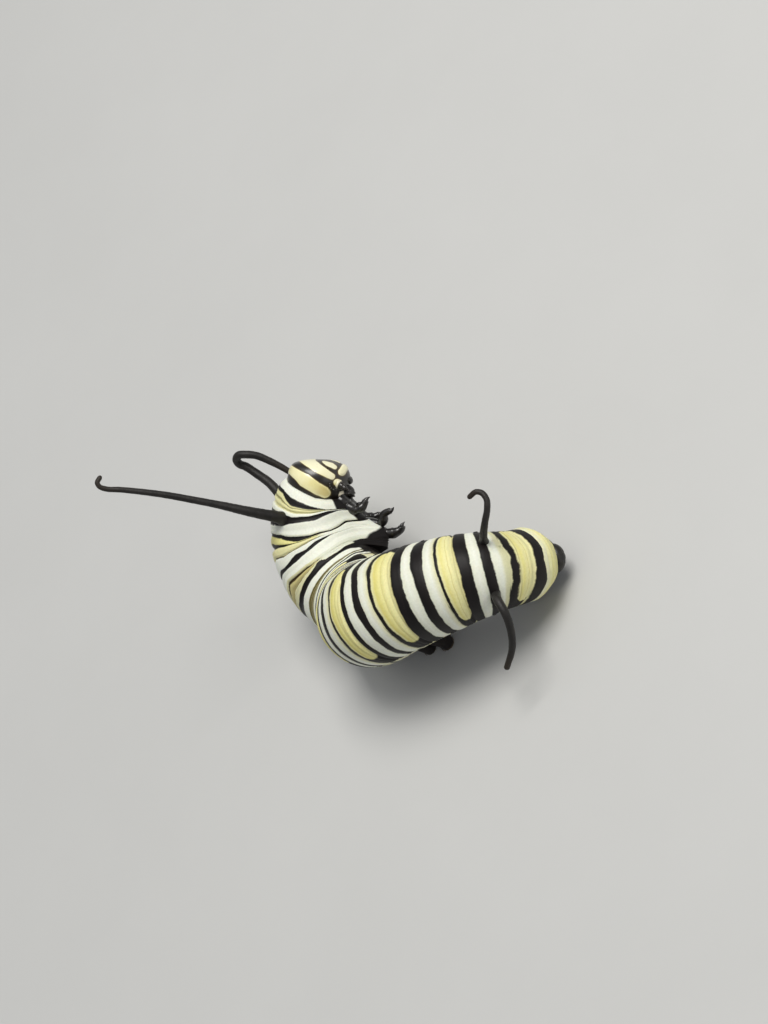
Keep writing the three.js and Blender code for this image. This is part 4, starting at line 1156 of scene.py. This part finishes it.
    side = n.math("MULTIPLY", n.step(dd, 46.0, 60.0), n.math("MULTIPLY", n.math("GREATER_THAN", W, 2.79), n.math("LESS_THAN", W, 3.343)))
    col = n.mix(side, col, lin(228, 231, 212))
    # behind the last white band of A8 the skin turns cream with a few dark specks near the middle
    dirty = n.math("MULTIPLY", n.step(W, 10.60, 10.66), n.math("SUBTRACT", 1.0, n.step(W, 10.70, 10.73)))
    col = n.mix(n.math("MULTIPLY", dirty, 0.7), col, lin(214, 211, 162))
    speck = n.math("MULTIPLY", n.math("MULTIPLY", dirty, n.step(n.noise(1700.0, 1.0, 0.4), 0.57, 0.66)), n.math("SUBTRACT", 1.0, n.step(dd, 28.0, 34.0)))
    col = n.mix(n.math("MULTIPLY", speck, 0.65), col, lin(112, 108, 64))
    neck = n.math("MULTIPLY", n.step(dd, 119.0, 123.0), n.math("LESS_THAN", W, 0.97))
    col = n.mix(neck, col, BLK)
    calm = n.math("ADD", n.math("MULTIPLY", deg, 0.7), n.math("MULTIPLY", dd, 0.3))
    reach = n.math("ADD", calm, n.math("MULTIPLY", n.math("SUBTRACT", n.math("MINIMUM", W, 3.15), 2.87), 75.0))
    patch = n.math("MULTIPLY", n.step(reach, 120.0, 123.5), n.math("MULTIPLY", n.step(W, 2.48, 2.54), n.math("SUBTRACT", 1.0, n.step(U, 4.1, 4.3))))
    col = n.mix(patch, col, BLK)
    patch = n.math("MULTIPLY", n.step(calm, 136.5, 139.5), n.math("MULTIPLY", n.math("GREATER_THAN", W, 0.9), n.math("SUBTRACT", 1.0, n.step(W, 1.745, 1.765))))
    col = n.mix(patch, col, BLK)
    # fleshy legs: black shield on a pale base, dark foot
    legcol = n.mix(n.step(LEG, 0.10, 0.20), lin(196, 190, 160), lin(34, 29, 27))
    legcol = n.mix(n.step(LEG, 0.90, 0.96), legcol, lin(84, 72, 52))
    col = n.mix(n.step(LEG, 0.03, 0.10), col, legcol)
    # painted shade in the folds between segments, soft tone changes
    near = n.math("ABSOLUTE", n.math("SUBTRACT", U, n.math("ROUND", U)))
    foldshade = n.math("MULTIPLY", n.math("SUBTRACT", 1.0, n.step(near, 0.0, 0.022)), n.math("MULTIPLY", n.math("GREATER_THAN", U, 3.5), 0.35))
    col = n.mix(foldshade, col, lin(150, 140, 104), "MULTIPLY")
    tone = n.noise(420.0, 4.0, 0.6)
    col = n.mix(n.step(tone, 0.35, 0.75, 0.0, 0.13), col, lin(206, 204, 176), "MULTIPLY")
    fine = n.noise(9000.0, 2.0, 0.5)
    col = n.mix(n.step(fine, 0.30, 0.70, 0.08, 0.0), col, lin(128, 128, 116), "MULTIPLY")
    n.set("Base Color", col)
    dark = n.t.nodes.new("ShaderNodeRGBToBW")
    n.link(col, dark.inputs[0])
    rough = n.math("ADD", n.step(dark.outputs[0], 0.02, 0.5, 0.46, 0.50), n.math("MULTIPLY", nz2, 0.10))
    n.set("Roughness", rough)
    n.set("Specular IOR Level", 0.25)
    n.set("Subsurface Weight", 0.10)
    n.bsdf.inputs["Subsurface Radius"].default_value = (1.0, 0.7, 0.4)
    n.set("Subsurface Scale", 0.00025)
    # relief: fine cross wrinkles that follow the rings, and a fine grain
    wv = n.math("MULTIPLY", U, 75.0)
    wr = n.math("SINE", n.math("ADD", wv, n.math("MULTIPLY", nz, 6.0)))
    h = n.math("ADD", n.math("MULTIPLY", wr, 0.10), n.math("MULTIPLY", n.noise(7000.0, 4.0, 0.6), 1.0))
    h = n.math("ADD", h, n.math("MULTIPLY", nz, 1.4))
    n.set("Normal", n.bump(h, 0.35, 0.000022))
    return n.mat


def head_material():
    n = Nodes("head_shell_arched")
    pale, hf, ang = n.attr("PALE"), n.attr("HFD"), n.attr("HAN")
    outr = n.attr("OUT")
    nz = n.noise(2600.0, 3.0, 0.5)
    d = n.math("ADD", pale, n.math("MULTIPLY", n.math("SUBTRACT", nz, 0.5), 0.055))
    yel = n.mix(n.step(n.noise(900.0, 3.0, 0.5), 0.35, 0.68), lin(245, 239, 192), lin(239, 228, 160))
    orange = n.math("MULTIPLY", n.step(ang, 0.50, 0.62), n.step(outr, -0.20, -0.05, 1.0, 0.25))
    orange = n.math("MULTIPLY", orange, n.step(outr, 0.02, -0.02))
    yel = n.mix(n.math("MULTIPLY", orange, 0.60), yel, lin(212, 188, 104))
    whiter = n.math("MULTIPLY", n.step(hf, 0.20, 0.50), 0.45)
    yel = n.mix(whiter, yel, lin(250, 248, 224))
    black = n.mix(nz, lin(22, 18, 14), lin(36, 30, 22))
    rim = n.mix(n.step(d, 0.0, 0.05), lin(88, 70, 26), black)
    col = n.mix(n.step(d, -0.040, -0.006), yel, rim)
    n.set("Base Color", col)
    n.set("Roughness", n.math("ADD", 0.20, n.math("MULTIPLY", n.noise(3200.0, 3.0, 0.6), 0.22)))
    n.set("Specular IOR Level", 0.55)
    n.set("Coat Weight", 0.35)
    n.set("Coat Roughness", 0.18)
    cell = n.voronoi(11000.0)
    h = n.math("ADD", n.math("MULTIPLY", cell, 1.0), n.math("MULTIPLY", n.noise(4200.0, 4.0, 0.6), 1.2))
    n.set("Normal", n.bump(h, 0.24, 0.000012))
    return n.mat


def shell_material(name, base, second, rough=0.22, grain=6500.0, pale_base=None, bump_d=0.000014, coat=0.3):
    n = Nodes(name)
    tip = n.attr("TIP")
    nz = n.noise(1800.0, 4.0, 0.55)
    col = n.mix(n.step(nz, 0.35, 0.70), base, second)
    if pale_base is not None:
        col = n.mix(n.step(n.math("ADD", tip, n.math("MULTIPLY", n.math("SUBTRACT", nz, 0.5), 0.08)), pale_base[0], pale_base[1]), pale_base[2], col)
    n.set("Base Color", col)
    n.set("Roughness", n.math("ADD", rough, n.math("MULTIPLY", n.noise(5200.0, 3.0, 0.6), 0.20)))
    n.set("Coat Weight", coat)
    n.set("Coat Roughness", 0.15)
    h = n.math("ADD", n.noise(grain, 4.0, 0.6), n.math("MULTIPLY", n.voronoi(grain * 1.6), 0.6))
    n.set("Normal", n.bump(h, 0.35, bump_d))
    return n.mat


def feeler_material():
    n = Nodes("feeler_black_satin")
    tip = n.attr("TIP")
    nz = n.noise(1400.0, 4.0, 0.6)
    col = n.mix(n.step(nz, 0.3, 0.72), lin(23, 21, 19), lin(38, 35, 32))
    col = n.mix(n.step(tip, 0.75, 1.0, 0.0, 0.4), col, lin(52, 40, 26))
    n.set("Base Color", col)
    n.set("Roughness", n.math("ADD", 0.42, n.math("MULTIPLY", n.noise(6000.0, 3.0, 0.6), 0.2)))
    n.set("Specular IOR Level", 0.36)
    n.set("Sheen Weight", 0.05)
    n.set("Sheen Roughness", 0.4)
    cell = n.voronoi(14000.0)
    h = n.math("ADD", n.math("MULTIPLY", cell, 1.3), n.noise(5000.0, 4.0, 0.6))
    n.set("Normal", n.bump(h, 0.40, 0.000014))
    return n.mat


M_SKIN = skin_material()
M_HEAD = head_material()
M_MOUTH = shell_material("mouth_black_shell", lin(20, 17, 15), lin(34, 27, 22))
M_LEG = shell_material("leg_black_shell", lin(18, 16, 15), lin(32, 28, 25), rough=0.20, coat=0.45)
M_ANT = shell_material("antenna_shell", lin(22, 19, 17), lin(38, 31, 24), pale_base=(0.24, 0.34, lin(232, 226, 196)))
M_PALP = shell_material("palp_shell", lin(26, 22, 19), lin(44, 36, 28), pale_base=(0.30, 0.50, lin(206, 198, 176)))
M_PLATE = shell_material("plate_black_shell", lin(16, 13, 9), lin(28, 23, 15), rough=0.34, coat=0.12)
M_EYE = shell_material("eye_clear_dome", lin(26, 20, 14), lin(44, 34, 22), rough=0.05, coat=1.0)
M_SPIR = shell_material("spiracle_shell", lin(14, 12, 12), lin(26, 22, 20), rough=0.30)
M_HOOK = shell_material("hook_brown_shell", lin(92, 58, 26), lin(60, 38, 20), rough=0.30)
M_FEEL = feeler_material()


def dress(ob, mat, nodes):
    ob.data.materials.clear()
    ob.data.materials.append(mat)
    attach(ob, "root")
    if nodes:
        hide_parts(*nodes)


SEGMENTS = ["thorax_1", "thorax_2", "thorax_3"] + ["abdomen_%d" % i for i in range(1, 11)]
dress(skin, M_SKIN, SEGMENTS + [p[0] for p in PROLEGS])
dress(head, M_HEAD, ["head"])
dress(mandible_r, M_MOUTH, ["mandible_right"])
dress(mandible_l, M_MOUTH, ["mandible_left"])
dress(labrum, M_MOUTH, ["labrum"])
dress(antenna_r, M_ANT, ["antenna_right"])
dress(antenna_l, M_ANT, ["antenna_left"])
dress(palps, M_PALP, [])
dress(eyes, M_EYE, [])
for name, ob in legs.items():
    dress(ob, M_LEG, [name])
for name, ob in feelers.items():
    nodes = [name + "_base", name + "_tip"] + ([name + "_middle"] if "front" in name else [])
    dress(ob, M_FEEL, nodes)
dress(plate, M_PLATE, ["anal_plate"])
dress(spiracles, M_SPIR, [])
dress(hooks, M_HOOK, [])


# ---------------------------------------------------------------- floor and light
def build_floor():
    me = bpy.data.meshes.new("floor")
    s = 1.2
    me.from_pydata([(-s, -s, 0), (s, -s, 0), (s, s, 0), (-s, s, 0)], [], [(0, 1, 2, 3)])
    ob = bpy.data.objects.new("floor", me)
    bpy.context.scene.collection.objects.link(ob)
    n = Nodes("floor_paper")
    nz = n.noise(60.0, 5.0, 0.6)
    n.set("Base Color", n.mix(nz, (0.56, 0.56, 0.545, 1), (0.61, 0.61, 0.595, 1)))
    n.set("Roughness", 0.85)
    n.set("Normal", n.bump(n.noise(2500.0, 4.0, 0.6), 0.15, 0.00002))
    me.materials.append(n.mat)
    return ob


floor = build_floor()


def area(name, location, target, size, power, color):
    li = bpy.data.lights.new(name, "AREA")
    li.energy, li.size, li.color = power, size, color
    ob = bpy.data.objects.new(name, li)
    bpy.context.scene.collection.objects.link(ob)
    d = Vector(target) - Vector(location)
    ob.location = location
    ob.rotation_mode = "QUATERNION"
    ob.rotation_quaternion = d.to_track_quat("-Z", "Y")
    return ob


def cam_dir(x, y, z):
    """a direction given by right, up and towards the viewer in the photograph"""
    return Vector(np.array([x, y, z]) @ CAM_R.T)


centre = Vector((0.0, 0.0, 0.005))
key = unit(np.array(cam_dir(-0.30, 0.62, 0.72)))
area("key", centre + Vector(key) * 0.30, centre, 0.15, 0.70, (1.0, 0.98, 0.94))
fill = unit(np.array(cam_dir(0.85, 0.10, 0.75)))
area("fill", centre + Vector(fill) * 0.40, centre, 0.35, 0.36, (0.97, 0.98, 1.0))
top = unit(np.array([0.0, 0.2, 1.0]))
area("top", centre + Vector(top) * 0.45, centre, 0.45, 0.32, (1.0, 1.0, 1.0))
world = bpy.data.worlds.new("studio")
bpy.context.scene.world = world
world.use_nodes = True
bg = world.node_tree.nodes["Background"]
bg.inputs[0].default_value = (0.92, 0.95, 1.0, 1)
bg.inputs[1].default_value = 0.28
